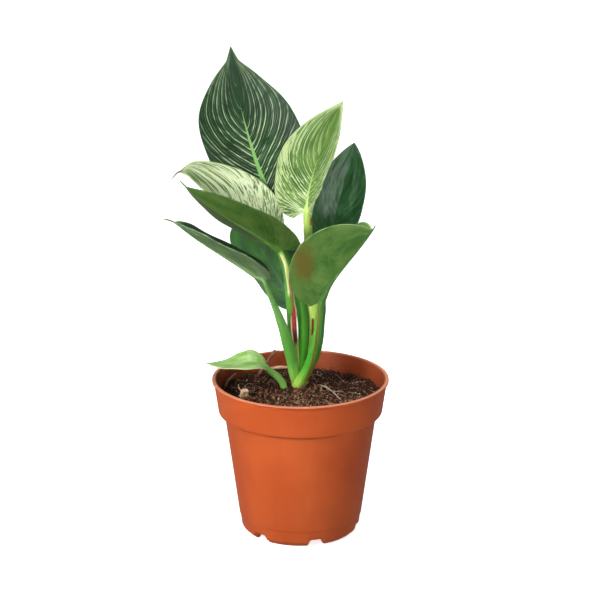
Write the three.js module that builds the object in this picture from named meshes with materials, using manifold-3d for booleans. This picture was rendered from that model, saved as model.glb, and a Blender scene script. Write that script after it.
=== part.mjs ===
// A philodendron with white-striped leaves in a terracotta-coloured nursery pot.
// Millimetres, +Z up. Origin: centre of the pot's underside, on the surface it stands on.
// The front of the plant is on the -Y side, its right on the +X side.
import * as THREE from 'three';
import { mergeVertices } from 'three/addons/utils/BufferGeometryUtils.js';
import Module from 'manifold-3d';

const wasm = await Module();
wasm.setup();

// ---- driving dimensions ----
const GAP = 0.3; // clearance between touching pieces
const ROUND = 48; // sides of the pot and the soil

const RIM_RADIUS = 52.5; // the pot's widest place
const POT_HEIGHT = 94.4;
const RIM_BEAD = 1.3; // height of the rounded edge
const RIM_WIDTH = 2.4; // wall and rounded edge together
const COLLAR_TOP_RADIUS = 51.4;
const COLLAR_BOTTOM_RADIUS = 48.9;
const COLLAR_BOTTOM = 74.8; // height at which the wide collar starts
const BODY_TOP_RADIUS = 45.3;
const BODY_TOP = 73.5;
const FOOT_RADIUS = 35.2;
const FOOT_LINE = 10; // faint moulding line round the foot, where the wall turns steeper
const WALL = 1.3;
const FLOOR_UNDERSIDE = 5.4; // the floor is raised inside the foot ring
const PAD_RADIUS = 14; // flat pad under the middle of the floor
const FOOT_RING = [ // from its inside over the standing edge to the wall, as [radius, height]
  [31.6, FLOOR_UNDERSIDE], [30.2, 0], [32.4, 0], [33.3, 1.3], [34.5, 2], [35.3, 3.2], [36.2, FOOT_LINE],
];
const NOTCHES = 6; // drainage notches in the foot ring
const NOTCH_TURN = 16.5; // degrees from the front to the first notch
const NOTCH_WIDTH = 9;
const NOTCH_HEIGHT = 3.4;

const SOIL_LEVEL = 83.6;
const MOUND = 3.2; // rise of the soil round the stem
const STEM_PLACE = [-0.6, 10.2]; // where the short stem leaves the soil
const HOLLOW = { place: [21, 29], reach: 8, depth: 3 }; // sunken spot behind the stem

const STEM_RADIUS = 5;
const STEM_TOP = 94.5;
const STEM_FOOT = 74;

const BLADE_THICKNESS = 0.9;
const BLADE_EDGE = 0.7; // share of that thickness left at the margin
const RIB_DEPTH = 0.8; // how far the midrib stands out below the blade
const BLADE_COLUMNS = 5; // faces from the midrib to each margin
const BLADE_ROWS = 15; // faces from the base to the tip
const VEIN_START = 0.6; // how far back along the midrib a side vein starts
const VEIN_BOW = 1.3; // how a side vein bends towards the tip
const STALK_SIDES = 8;

// ---- leaves ----
// midrib: four control points from the blade's base to its tip
// face: where the upper side looks, rolled about the midrib by roll at base and tip (radians)
// right, left: fold up from that plane at base and tip, then the bend out to the margin
// shape: how fast the blade widens from its base and narrows to its tip
// stalk: points from the blade's base down to the stem, with the radius at each
const LEAVES = [
  {
    name: 'tall', colour: 0x1f4a26,
    midrib: [[-15.3, 32, 190.9], [-29.3, 34.5, 223.4], [-37.7, 37.4, 254.7], [-41, 40.8, 284.8]],
    face: [0.1, -1, 0.25], roll: [-0.65, -0.06],
    right: [0.34, 0.18, -0.25], left: [0.07, 0.16, -0.81],
    halfWidth: 35.5, shape: [0.54, 0.89], lobe: 0.08, drip: 0, pinch: 0.075, tip: [1.28, 1],
    stalkColour: 0x3c9424,
    stalk: [[-13.9, 32, 181.3, 1.7], [-11.6, 32, 170.2, 1.8], [-8, 30.5, 156.9, 2],
      [-4.4, 28, 145.2, 2.1], [-1.4, 25, 134.8, 2.2], [0.4, 22, 123.2, 2.2], [1, 19, 111.6, 2.2],
      [1, 16, 100, 2.2], [0.4, 13, 89.6, 2.2]],
  },
  {
    name: 'pale', colour: 0x9fbe72,
    midrib: [[4.1, -5.8, 198.2], [4.2, -0.8, 212.6], [11.3, -1.7, 235.2], [24.6, -1, 263.1]],
    face: [-0.5, -1, 0.2], roll: [-0.16, 0.16],
    right: [0.63, 0.65, 0.5], left: [0.29, 0.39, -0.89],
    halfWidth: 27.4, shape: [0.59, 0.95], lobe: 0.08, drip: 0.01,
    stalkColour: 0xbcd872,
    stalk: [[4.4, -3, 186.4, 2.6], [5, 1, 173.1, 2.7], [5.6, 6, 156.3, 2.8], [6.6, 11, 139.3, 2.9],
      [7, 13.5, 126, 3], [6.6, 14.5, 116.3, 2.8], [4.8, 14.5, 106.8, 2.6], [3, 14, 97.5, 2.4],
      [1, 12, 88.7, 2.3]],
  },
  {
    name: 'cream', colour: 0xcfdda6,
    midrib: [[-13.3, 18.3, 175.8], [-33.9, 19.6, 185.1], [-54.3, 16.3, 203.1], [-74.7, 8.8, 225.2]],
    face: [-0.1, -0.6, 0.8], roll: [-0.02, 0.36],
    right: [0.83, 0.49, -0.33], left: [0.68, 0.53, 0.32],
    halfWidth: 24.3, shape: [0.57, 0.65], lobe: 0.01, drip: 0.07, hook: -11, hookStart: 0.86,
    stalkColour: 0x4f9a35,
    stalk: [[-8.5, 15, 164, 2], [-4.4, 11.5, 151.5, 2.6], [-0.2, 9.5, 139.7, 3.1], [1.5, 9.5, 130.4, 3.3],
      [2, 9, 118.1, 3.3], [1.5, 9, 108.7, 3.1], [0.9, 9.5, 99.1, 2.8], [0.1, 10, 89.4, 2.6]],
  },
  {
    name: 'left', colour: 0x45702f,
    midrib: [[-12.3, -6.4, 175.4], [-22.2, -11.8, 187.1], [-49.3, -15.8, 197.1], [-68.8, -18.9, 220.1]],
    face: [-0.1, 1, 0.5], roll: [-0.59, -0.46],
    right: [0.36, 0.4, -0.21], left: [0.21, 0.3, -0.27],
    halfWidth: 25.4, shape: [0.6, 0.96], lobe: 0.07, drip: 0.05,
    stalkColour: 0x78b450,
    stalk: [[-9.3, -5.5, 167.7, 2.2], [-8, -4, 161.1, 2.3], [-7.1, -1.5, 152.4, 2.2],
      [-6.4, 1.5, 142.3, 2.2], [-5.9, 4.5, 132, 2.2], [-5.3, 7.5, 121.7, 2.2], [-4.4, 9.5, 111, 2.3],
      [-2.9, 10.5, 100.6, 2.4], [-1.4, 10.5, 90.5, 2.5]],
  },
  {
    name: 'low', colour: 0x5d7a47,
    midrib: [[-21.2, -9.6, 157.6], [-40.4, -11.2, 172.9], [-62.5, -18, 183.2], [-77.9, -25.3, 204.1]],
    face: [0, 0, 1], roll: [-0.06, -0.06],
    right: [0.82, 0.62, -1.16], left: [0.8, 0.45, -0.35],
    halfWidth: 20.1, shape: [0.56, 0.91], lobe: 0.01, drip: 0.11, hook: -5, hookStart: 0.82,
    stalkColour: 0x4f9a35,
    stalk: [[-18.9, -6.5, 150.9, 1.5], [-16.6, -5, 144.3, 1.6], [-13.8, -3, 136.9, 2.1],
      [-11.6, -1.5, 130.2, 2.6], [-9.5, 0, 123.5, 3], [-7.8, 1.5, 116.8, 3.4], [-6.4, 3, 110.1, 3.3],
      [-5.1, 5, 103.1, 3.1], [-4.2, 7, 96.1, 3], [-2.9, 9, 89.7, 2.8]],
  },
  {
    name: 'behind', colour: 0x2f5a37,
    midrib: [[-5.8, 19.2, 138.7], [-17, 24, 155.3], [-26.8, 27.9, 171.1], [-34.5, 30.4, 186.1]],
    face: [-0.1, -1, 0.3], roll: [-0.05, 0.01],
    right: [0.1, 0.1, -0.2], left: [-0.09, 0.33, -1.63],
    halfWidth: 22.1, shape: [0.6, 0.58], lobe: 0.09, drip: 0.01,
    stalkColour: 0x3c9424,
    stalk: [[-5.6, 19.5, 130.3, 1.6], [-5, 19.5, 120.9, 1.8], [-4.1, 18, 110.7, 1.9], [-2.9, 16, 101.3, 2],
      [-1.4, 13, 90.9, 2]],
  },
  {
    name: 'right', colour: 0x2a5733,
    midrib: [[16, 20.6, 170.4], [21.9, 24.7, 193.3], [28.2, 29.6, 212.8], [32, 34.7, 229.8]],
    face: [0.1, -1, 0.3], roll: [-0.3, -0.1],
    right: [0.47, 0.3, -0.02], left: [0.28, 0.3, -0.23],
    halfWidth: 16.7, shape: [0.57, 0.88], lobe: 0.05, drip: 0.01,
    stalkColour: 0x2f6a2c,
    stalk: [[14.6, 17, 152.9, 1.9], [13.1, 13.5, 138.5, 2.1], [13, 12.3, 132.6, 2.2],
      [12.4, 11, 126.8, 2.2], [11.8, 9.5, 117.9, 2.2], [10.8, 9, 111.2, 2.2], [9.3, 9, 105.5, 2.2],
      [6.3, 9.3, 98.5, 2.2], [2.1, 10, 89.4, 2.2]],
  },
  {
    name: 'folded', colour: 0x56793a,
    midrib: [[12.2, -7, 143.6], [14.6, -11.9, 159.7], [30.9, -19.7, 172.5], [43, -24.9, 195.3]],
    face: [-0.6, 0.3, 0.7], roll: [-0.1, -0.21],
    right: [0.93, 0.97, -0.19], left: [0.9, 0.91, -0.29],
    halfWidth: 29.1, shape: [0.69, 0.52], lobe: 0.08, drip: 0.04,
    stalkColour: 0x4f9a35,
    stalk: [[10.9, -3, 131.3, 2], [9.6, -1, 121.4, 2.3], [7.8, 1, 111.4, 2.7], [5.3, 3, 101.3, 3],
      [0.9, 5.2, 91.6, 3.3], [-2.2, 7.4, 85.7, 3.3]],
  },
  {
    name: 'small', colour: 0xa3cf72,
    midrib: [[-21, 2.8, 100.7], [-29.3, -3.3, 108.9], [-40.7, -2.1, 100.2], [-56.5, 5.4, 101.8]],
    face: [0, -0.6, 0.8], roll: [0.21, 0.51],
    right: [0.31, 0.07, -0.28], left: [0.38, 0.24, -0.07],
    halfWidth: 10.8, shape: [0.59, 0.89], lobe: 0, drip: 0.02,
    stalkColour: 0x96c864,
    stalk: [[-18.1, 4, 97.2, 1.8], [-13.9, 5, 93.7, 2.1], [-10.6, 6, 88.9, 2.1], [-9.5, 6.6, 84, 2],
      [-9.2, 6.8, 79, 1.6]],
  },
];
// stalks nearest the front keep their full section and the others give way to them
const STALK_ORDER = ['folded', 'low', 'cream', 'left', 'pale', 'right', 'tall', 'behind', 'small'];

// the dry red sheath that once wrapped a young leaf, from its tip down to the stem
const SHEATH = {
  path: [[-4.5, 0.8, 152.2, 0.5], [-4.4, 2.4, 142.5, 1], [-4.2, 3.3, 135.5, 1.3], [-4.1, 3.5, 129.2, 1.3],
    [-3.9, 3.7, 123, 1.3], [-3.2, 4.6, 116, 1.2], [-2.6, 6.5, 109, 1], [-1.6, 9.5, 92.5, 0.9]],
};

// loose pieces lying in the soil: points with the radius at each
const LITTER = [
  {
    name: 'twig', colour: 0x6a4436,
    path: [[-27, 36, 81, 1.1], [-20.6, 40, 90, 1], [-15.4, 43.6, 97, 0.9]],
  },
  {
    name: 'stick', colour: 0x6d5a48,
    path: [[-45.3, 9, 80.5, 0.9], [-44.2, 15, 86.2, 1], [-39, 24.8, 88.2, 0.8]],
  },
  {
    name: 'straw', colour: 0xb98f74,
    path: [[-19.4, 43.2, 84.8, 0.9], [-13.5, 44.8, 85.3, 1.1], [-8, 45.8, 85, 0.8]],
  },
  {
    name: 'root', colour: 0xbfae98,
    path: [[10.5, 14.5, 84.8, 0.5], [14.6, 7.2, 86, 0.5], [19.3, -0.4, 85.3, 0.5],
      [24, -11.2, 84.2, 0.45]],
  },
];
const CHIP = { place: [-33.2, -6, 86], size: [6.2, 3.4, 6.6], lean: 0.35, turn: 0.3, colour: 0xdbb077 };

// ---- solids ----
// closed geometry -> solid: shared vertices merged, flat triangles dropped, faces turned outwards
function solidOf(geometry) {
  const bare = geometry.clone();
  bare.deleteAttribute('normal');
  bare.deleteAttribute('uv');
  const merged = mergeVertices(bare, 1e-4);
  const triangles = [];
  const index = merged.index.array;
  for (let i = 0; i < index.length; i += 3) {
    const [a, b, c] = [index[i], index[i + 1], index[i + 2]];
    if (a !== b && b !== c && c !== a) triangles.push(a, b, c);
  }
  if (volumeOf(merged.attributes.position, triangles) < 0) triangles.reverse();
  return new wasm.Manifold(new wasm.Mesh({
    numProp: 3,
    vertProperties: new Float32Array(merged.attributes.position.array),
    triVerts: new Uint32Array(triangles),
  }));
}

function volumeOf(position, triangles) {
  const [a, b, c] = [new THREE.Vector3(), new THREE.Vector3(), new THREE.Vector3()];
  let volume = 0;
  for (let i = 0; i < triangles.length; i += 3) {
    a.fromBufferAttribute(position, triangles[i]);
    b.fromBufferAttribute(position, triangles[i + 1]);
    c.fromBufferAttribute(position, triangles[i + 2]);
    volume += a.dot(b.cross(c)) / 6;
  }
  return volume;
}

function geometryOf(solid) {
  const mesh = solid.getMesh();
  const geometry = new THREE.BufferGeometry();
  geometry.setAttribute('position', new THREE.BufferAttribute(mesh.vertProperties, 3));
  geometry.setIndex(new THREE.BufferAttribute(mesh.triVerts, 1));
  geometry.computeVertexNormals();
  return geometry;
}

const plant = new THREE.Group();
function addPiece(name, solid, colour, roughness) {
  const material = new THREE.MeshStandardMaterial({ color: colour, roughness, metalness: 0 });
  const mesh = new THREE.Mesh(geometryOf(solid), material);
  mesh.name = name;
  plant.add(mesh);
}

// profile of [radius, height] points turned about the upright axis through a place
function turned(profile, sides, place = [0, 0]) {
  const points = profile.map(([radius, height]) => new THREE.Vector2(radius, height));
  return new THREE.LatheGeometry(points, sides).rotateX(Math.PI / 2).translate(place[0], place[1], 0);
}

// ---- pot ----
function outerRadius(height) { // outside of the wall, without its rounded edges
  const { mapLinear } = THREE.MathUtils;
  if (height < COLLAR_BOTTOM) return mapLinear(height, 0, BODY_TOP, FOOT_RADIUS, BODY_TOP_RADIUS);
  return mapLinear(height, COLLAR_BOTTOM, POT_HEIGHT, COLLAR_BOTTOM_RADIUS, COLLAR_TOP_RADIUS);
}

function innerRadius(height) {
  return outerRadius(height) - WALL;
}

const FLOOR_TOP = FLOOR_UNDERSIDE + WALL;
const INNER_STEP = BODY_TOP + WALL; // the step inside lies a wall's thickness above the step outside

function potSolid() {
  const profile = [[0, 0], [PAD_RADIUS, 0], [PAD_RADIUS + 1, FLOOR_UNDERSIDE], ...FOOT_RING];
  profile.push(
    [outerRadius(FOOT_LINE + 0.4), FOOT_LINE + 0.4],
    [BODY_TOP_RADIUS, BODY_TOP - 1], [BODY_TOP_RADIUS + 0.6, BODY_TOP],
    [COLLAR_BOTTOM_RADIUS - 0.7, COLLAR_BOTTOM - 0.6], [COLLAR_BOTTOM_RADIUS, COLLAR_BOTTOM + 0.4],
    [COLLAR_TOP_RADIUS, POT_HEIGHT - RIM_BEAD - 1], [RIM_RADIUS, POT_HEIGHT - RIM_BEAD],
    [RIM_RADIUS, POT_HEIGHT - 0.6], [RIM_RADIUS - 0.6, POT_HEIGHT],
    [RIM_RADIUS - RIM_WIDTH + 0.7, POT_HEIGHT], [RIM_RADIUS - RIM_WIDTH, POT_HEIGHT - 0.9],
    [innerRadius(INNER_STEP + 1.6), INNER_STEP + 1.6],
    [BODY_TOP_RADIUS - WALL, INNER_STEP], [innerRadius(FLOOR_TOP), FLOOR_TOP], [0, FLOOR_TOP],
  );
  let pot = solidOf(turned(profile, ROUND));
  for (let i = 0; i < NOTCHES; i++) {
    const notch = new THREE.BoxGeometry(NOTCH_WIDTH, 12, 2 * NOTCH_HEIGHT);
    notch.translate(0, -FOOT_RADIUS, 0);
    notch.rotateZ(THREE.MathUtils.degToRad(NOTCH_TURN + i * 360 / NOTCHES));
    pot = pot.subtract(solidOf(notch));
  }
  return pot;
}

// ---- soil ----
function soilHeight(x, y) {
  const fromStem = Math.hypot(x - STEM_PLACE[0], y - STEM_PLACE[1]);
  const fromHollow = Math.hypot(x - HOLLOW.place[0], y - HOLLOW.place[1]);
  const lumps = 0.5 * Math.sin(0.31 * x + 1.3) * Math.cos(0.27 * y) + 0.35 * Math.sin(0.62 * y + 0.43 * x);
  return SOIL_LEVEL + lumps + MOUND * Math.exp(-((fromStem / 16) ** 2))
    - HOLLOW.depth * Math.exp(-((fromHollow / HOLLOW.reach) ** 2));
}

function soilSolid() {
  const rings = 9;
  const edge = innerRadius(SOIL_LEVEL) - GAP;
  const profile = [[0, FLOOR_TOP + GAP], [innerRadius(FLOOR_TOP) - GAP, FLOOR_TOP + GAP],
    [BODY_TOP_RADIUS - WALL - GAP, INNER_STEP], [innerRadius(INNER_STEP + 2) - GAP, INNER_STEP + 2]];
  for (let i = rings; i >= 0; i--) profile.push([edge * i / rings, SOIL_LEVEL]);
  const geometry = turned(profile, ROUND);
  const position = geometry.attributes.position;
  for (let i = 0; i < position.count; i++) {
    if (position.getZ(i) < SOIL_LEVEL - 0.01) continue;
    position.setZ(i, soilHeight(position.getX(i), position.getY(i)));
  }
  return solidOf(geometry);
}

// ---- stem and stalks ----
function stemSolid(extra) {
  const radius = STEM_RADIUS + extra;
  const top = STEM_TOP + extra;
  const profile = [[0, STEM_FOOT - extra], [radius * 0.8, STEM_FOOT - extra], [radius, STEM_FOOT + 3],
    [radius, top - 4], [radius * 0.85, top - 1.6], [radius * 0.45, top - 0.3], [0, top]];
  return solidOf(turned(profile, 16, STEM_PLACE));
}

// rod through points of [x, y, z, radius]; extra makes it fatter and longer at both ends
function rodSolid(path, sides, extra) {
  const curve = new THREE.CatmullRomCurve3(path.map(([x, y, z]) => new THREE.Vector3(x, y, z)));
  const steps = 2 * (path.length - 1);
  const geometry = new THREE.CylinderGeometry(1, 1, 1, sides, steps);
  const position = geometry.attributes.position;
  const spot = new THREE.Vector3();
  for (let i = 0; i < position.count; i++) {
    const along = THREE.MathUtils.clamp(0.5 - position.getY(i), 0, 1);
    const place = along * (path.length - 1);
    const first = Math.min(Math.floor(place), path.length - 2);
    const radius = THREE.MathUtils.lerp(path[first][3], path[first + 1][3], place - first) + extra;
    const direction = curve.getTangent(along);
    const side = new THREE.Vector3(0, 1, 0).cross(direction).normalize();
    const front = new THREE.Vector3().crossVectors(direction, side);
    const end = along < 1e-6 ? -extra : (along > 1 - 1e-6 ? extra : 0);
    curve.getPoint(along, spot);
    spot.addScaledVector(side, radius * position.getX(i));
    spot.addScaledVector(front, radius * position.getZ(i));
    spot.addScaledVector(direction, end);
    position.setXYZ(i, spot.x, spot.y, spot.z);
  }
  return solidOf(geometry);
}

function stalkPath(leaf) { // the stalk's top end lies in the blade's base
  return [[...leaf.midrib[0], leaf.stalk[0][3] - 0.1], ...leaf.stalk];
}

// ---- blades ----
// half width along the blade, 1 at its widest place: s ** a * (1 - s) ** b with a thin drip tip
// half width in shares of the widest place; pinch draws the blade in towards a drip tip
function relativeWidth(v, { shape: [rise, fall], drip, pinch = 0, tip = [0.035, 0.5] }) {
  const { clamp, smoothstep } = THREE.MathUtils;
  const s = 0.03 + 0.97 * v;
  const body = Math.min(s / (1 - drip) + pinch * smoothstep(s, 0.6, 0.92), 1);
  const peak = (rise / (rise + fall)) ** rise * (fall / (rise + fall)) ** fall;
  const width = body ** rise * (1 - body) ** fall / peak;
  const tail = tip[0] * (1 - s) ** tip[1] * clamp((s - 0.6) / 0.3, 0, 1);
  return Math.hypot(width, tail);
}

// point of the blade's middle surface: u is -1 and 1 at the margins, v runs from base to tip
function bladePoint(leaf, curve, u, v) {
  const across = relativeWidth(v, leaf) * Math.abs(u); // in half widths
  const marginAlong = -leaf.lobe + (1 + leaf.lobe) * v;
  const midribAlong = VEIN_START * v + (1 - VEIN_START) * v ** 7;
  const along = midribAlong + (marginAlong - midribAlong) * Math.abs(u) ** VEIN_BOW;
  const held = THREE.MathUtils.clamp(along, 0, 1);
  const tangent = curve.getTangent(held);
  const point = curve.getPoint(held);
  if (along < 0) point.addScaledVector(slopeAtBase(leaf), along);
  const upper = new THREE.Vector3(...leaf.face);
  upper.addScaledVector(tangent, -upper.dot(tangent)).normalize();
  const side = new THREE.Vector3().crossVectors(tangent, upper);
  const roll = THREE.MathUtils.lerp(leaf.roll[0], leaf.roll[1], held);
  const rolledUpper = upper.clone().multiplyScalar(Math.cos(roll)).addScaledVector(side, Math.sin(roll));
  const rolledSide = side.clone().multiplyScalar(Math.cos(roll)).addScaledVector(upper, -Math.sin(roll));
  const [foldBase, foldTip, bend] = u >= 0 ? leaf.right : leaf.left;
  const fold = THREE.MathUtils.lerp(foldBase, foldTip, held);
  const out = (Math.sin(fold + bend * across) - Math.sin(fold)) / bend * leaf.halfWidth;
  const up = (Math.cos(fold) - Math.cos(fold + bend * across)) / bend * leaf.halfWidth;
  point.addScaledVector(rolledSide, u >= 0 ? out : -out).addScaledVector(rolledUpper, up);
  if (leaf.hook && held > leaf.hookStart) {
    point.z += leaf.hook * ((held - leaf.hookStart) / (1 - leaf.hookStart)) ** 2;
  }
  return point;
}

function slopeAtBase(leaf) {
  const [from, to] = leaf.midrib.slice(0, 2).map((point) => new THREE.Vector3(...point));
  return to.sub(from).multiplyScalar(3);
}

function bladeSolid(leaf) {
  const curve = new THREE.CubicBezierCurve3(...leaf.midrib.map((point) => new THREE.Vector3(...point)));
  const upper = new THREE.PlaneGeometry(2, 1, 2 * BLADE_COLUMNS, BLADE_ROWS);
  const grid = upper.attributes.position;
  const margins = [];
  for (let i = 0; i < grid.count; i++) {
    const x = grid.getX(i);
    const u = Math.sign(x) * Math.abs(x) ** 1.5; // columns crowd towards the midrib
    const v = THREE.MathUtils.clamp(grid.getY(i) + 0.5, 0, 1);
    const point = bladePoint(leaf, curve, u, v);
    grid.setXYZ(i, point.x, point.y, point.z);
    margins.push([Math.abs(u), v]);
  }
  upper.computeVertexNormals();
  const normal = upper.attributes.normal;
  const count = grid.count;
  const both = new Float32Array(count * 6);
  for (let i = 0; i < count; i++) {
    const [u, v] = margins[i];
    const half = BLADE_THICKNESS / 2 * (1 - (1 - BLADE_EDGE) * u);
    const rib = u < 0.01 ? RIB_DEPTH * (1 - v) : 0;
    for (let axis = 0; axis < 3; axis++) {
      const middle = grid.getComponent(i, axis);
      const out = normal.getComponent(i, axis);
      both[3 * i + axis] = middle + half * out;
      both[3 * (i + count) + axis] = middle - (half + rib) * out;
    }
  }
  const faces = Array.from(upper.index.array);
  const triangles = [...faces];
  for (let i = 0; i < faces.length; i += 3) { // the underside has the same triangles, turned over
    triangles.push(faces[i] + count, faces[i + 2] + count, faces[i + 1] + count);
  }
  const loop = rimLoop(2 * BLADE_COLUMNS + 1, BLADE_ROWS + 1);
  loop.forEach((a, i) => {
    const b = loop[(i + 1) % loop.length];
    triangles.push(a, b + count, b, a, a + count, b + count);
  });
  const closed = new THREE.BufferGeometry();
  closed.setAttribute('position', new THREE.BufferAttribute(both, 3));
  closed.setIndex(triangles);
  return tipMerged(closed, 2 * BLADE_COLUMNS + 1, count);
}

// grid points round the edge, anticlockwise seen from the upper side; row 0 is the tip
function rimLoop(columns, rows) {
  const loop = [];
  for (let i = 0; i < columns - 1; i++) loop.push((rows - 1) * columns + i);
  for (let i = rows - 1; i > 0; i--) loop.push(i * columns + columns - 1);
  for (let i = columns - 1; i > 0; i--) loop.push(i);
  for (let i = 0; i < rows - 1; i++) loop.push(i * columns);
  return loop;
}

// every vertex of the tip's row goes to one point on each side
function tipMerged(geometry, columns, count) {
  const position = geometry.attributes.position;
  const middle = (columns - 1) / 2;
  for (const start of [0, count]) {
    for (let i = 0; i < columns; i++) {
      const from = start + middle;
      position.setXYZ(start + i, position.getX(from), position.getY(from), position.getZ(from));
    }
  }
  return solidOf(geometry);
}

// ---- assembly ----
addPiece('pot', potSolid(), 0xb9532d, 0.55);

const room = [stemSolid(GAP)]; // what later pieces keep clear of
addPiece('stem', stemSolid(0), 0xa8b860, 0.6);

const leafNamed = Object.fromEntries(LEAVES.map((leaf) => [leaf.name, leaf]));
for (const name of STALK_ORDER) {
  const leaf = leafNamed[name];
  const path = stalkPath(leaf);
  let stalk = rodSolid(path, STALK_SIDES, 0);
  for (const other of room) stalk = stalk.subtract(other);
  room.push(rodSolid(path, STALK_SIDES, GAP));
  addPiece(`petiole_${name}`, stalk, leaf.stalkColour, 0.45);
  addPiece(`blade_${name}`, bladeSolid(leaf).subtract(room.at(-1)), leaf.colour, 0.4);
}

let sheath = rodSolid(SHEATH.path, 6, 0);
for (const other of room) sheath = sheath.subtract(other);
addPiece('sheath', sheath, 0xb23a34, 0.5);

for (const { name, path, colour } of LITTER) {
  room.push(rodSolid(path, 6, GAP));
  addPiece(name, rodSolid(path, 6, 0), colour, 0.85);
}

function chipSolid(extra) {
  const [width, depth, height] = CHIP.size.map((size) => size + 2 * extra);
  const chip = new THREE.CylinderGeometry(width * 0.4, width * 0.5, depth, 7);
  chip.scale(1, 1, height / width);
  chip.rotateX(CHIP.lean).rotateZ(CHIP.turn).translate(...CHIP.place);
  return solidOf(chip);
}
room.push(chipSolid(GAP));
addPiece('bark_chip', chipSolid(0), CHIP.colour, 0.8);

let soil = soilSolid();
for (const other of room) soil = soil.subtract(other);
addPiece('soil', soil, 0x3b2820, 0.95);

export default plant;
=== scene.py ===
# A young philodendron with cream-striped leaves in its terracotta-coloured nursery pot.
# Metres, +Z up. The front of the plant is on the -Y side, its right on the +X side.
import bpy
import bmesh
import math
import random
from functools import partial
from mathutils import Euler, Matrix, Vector, noise


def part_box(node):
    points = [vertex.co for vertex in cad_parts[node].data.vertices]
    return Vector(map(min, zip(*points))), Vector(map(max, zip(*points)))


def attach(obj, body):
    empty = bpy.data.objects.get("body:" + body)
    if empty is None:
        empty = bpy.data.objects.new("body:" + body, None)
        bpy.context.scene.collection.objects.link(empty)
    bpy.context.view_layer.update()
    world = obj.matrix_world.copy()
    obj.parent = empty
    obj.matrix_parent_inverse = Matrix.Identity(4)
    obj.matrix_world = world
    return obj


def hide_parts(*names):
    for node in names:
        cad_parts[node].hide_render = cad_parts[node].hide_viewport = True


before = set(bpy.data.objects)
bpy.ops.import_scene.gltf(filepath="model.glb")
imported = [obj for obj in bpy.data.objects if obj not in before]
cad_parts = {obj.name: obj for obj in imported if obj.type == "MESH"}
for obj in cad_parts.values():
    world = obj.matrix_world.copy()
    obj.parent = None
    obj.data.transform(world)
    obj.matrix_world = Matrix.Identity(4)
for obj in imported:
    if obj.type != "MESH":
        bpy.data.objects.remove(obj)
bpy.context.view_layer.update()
mm = 0.001
print("frame loaded:", len(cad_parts), "nodes")


def linearColour(hexColour):
    # sRGB hex such as "cf6a3e" to the linear colour that sockets take
    channels = [int(hexColour[i:i + 2], 16) / 255 for i in (0, 2, 4)]
    linear = [c / 12.92 if c <= 0.04045 else ((c + 0.055) / 1.055) ** 2.4 for c in channels]
    return (*linear, 1)


def setNode(node, settings):
    # a node's properties, ramp stops and input values, and the links into it: a link is given as
    # the socket that it comes from, or as a node, whose first output in use is taken
    for key, value in settings.items():
        if isinstance(value, bpy.types.Node):
            value = next(output for output in value.outputs if output.enabled)
        if isinstance(value, bpy.types.NodeSocket):
            node.id_data.links.new(value, node.inputs[key])
        elif key == "stops":
            stops = node.color_ramp.elements
            while len(stops) < len(value):
                stops.new(0.5)
            for stop, (place, colour) in zip(stops, value):
                stop.position = place
                stop.color = linearColour(colour)
        elif isinstance(key, str) and hasattr(node, key):
            setattr(node, key, value)
        else:
            value = linearColour(value) if isinstance(value, str) else value
            node.inputs[key].default_value = value


def addNode(material, kind, settings):
    node = material.node_tree.nodes.new("ShaderNode" + kind)
    setNode(node, settings)
    return node


def newMaterial(name, roughness, ior=1.45, subsurface=0, specular=0.5):
    # a bare material, its shader, and addNode for it; the caller links colour, bump and so on
    material = bpy.data.materials.new(name)
    material.use_nodes = True
    shader = material.node_tree.nodes["Principled BSDF"]
    setNode(shader, {"Roughness": roughness, "IOR": ior, "Specular IOR Level": specular,
                     "Subsurface Weight": subsurface, "Subsurface Radius": (0.8, 1.0, 0.3),
                     "Subsurface Scale": 1.1 * mm})
    return material, shader, partial(addNode, material)


def toMesh(name, mesh):
    data = bpy.data.meshes.new(name)
    mesh.to_mesh(data)
    mesh.free()
    return data


def addObject(name, data):
    thing = bpy.data.objects.new(name, data)
    bpy.context.scene.collection.objects.link(thing)
    return thing


def finishPiece(name, mesh, materials, replaced=(), sharpAngle=None):
    # turns a bmesh into a piece that rides on the part
    data = toMesh(name, mesh)
    for material in materials:
        data.materials.append(material)
    data.shade_smooth()
    if sharpAngle is not None:
        data.set_sharp_from_angle(angle=math.radians(sharpAngle))
    piece = addObject(name, data)
    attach(piece, "root")
    if replaced:
        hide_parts(*replaced)
    return piece


def addWall(piece, name, thickness):
    # gives a sheet its thickness, half to each side
    wall = piece.modifiers.new(name, "SOLIDIFY")
    wall.thickness = thickness * mm
    wall.offset = 0
    return wall


def clamp(value):
    return min(max(value, 0), 1)


def smoothStep(value, low, high):
    share = clamp((value - low) / (high - low))
    return share * share * (3 - 2 * share)


def spinProfile(profile, steps):
    # profile of (radius, height) in millimetres, turned about Z into a closed shell; a loop keeps
    # the faces in one order, which the spin operator does not
    mesh = bmesh.new()
    rings = []
    for step in range(steps):
        turn = math.tau * step / steps
        rings.append([mesh.verts.new((math.cos(turn) * radius * mm, math.sin(turn) * radius * mm,
                                      height * mm)) for radius, height in profile])
    for ring, following in zip(rings, rings[1:] + rings[:1]):
        for i in range(len(profile) - 1):
            mesh.faces.new((ring[i], following[i], following[i + 1], ring[i + 1]))
    bmesh.ops.remove_doubles(mesh, verts=mesh.verts, dist=1e-6)
    bmesh.ops.recalc_face_normals(mesh, faces=mesh.faces)
    return mesh


def roundCorners(corners, segments):
    # corners of (radius, height, rounding): each rounded one becomes a short arc
    points = []
    for i, (radius, height, rounding) in enumerate(corners):
        if rounding == 0:
            points.append((radius, height))
            continue
        corner = Vector((radius, height))
        before = (Vector(corners[i - 1][:2]) - corner).normalized() * rounding
        after = (Vector(corners[i + 1][:2]) - corner).normalized() * rounding
        for step in range(segments + 1):
            t = step / segments
            points.append(tuple(corner + before * (1 - t) ** 2 + after * t ** 2))
    return points


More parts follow.
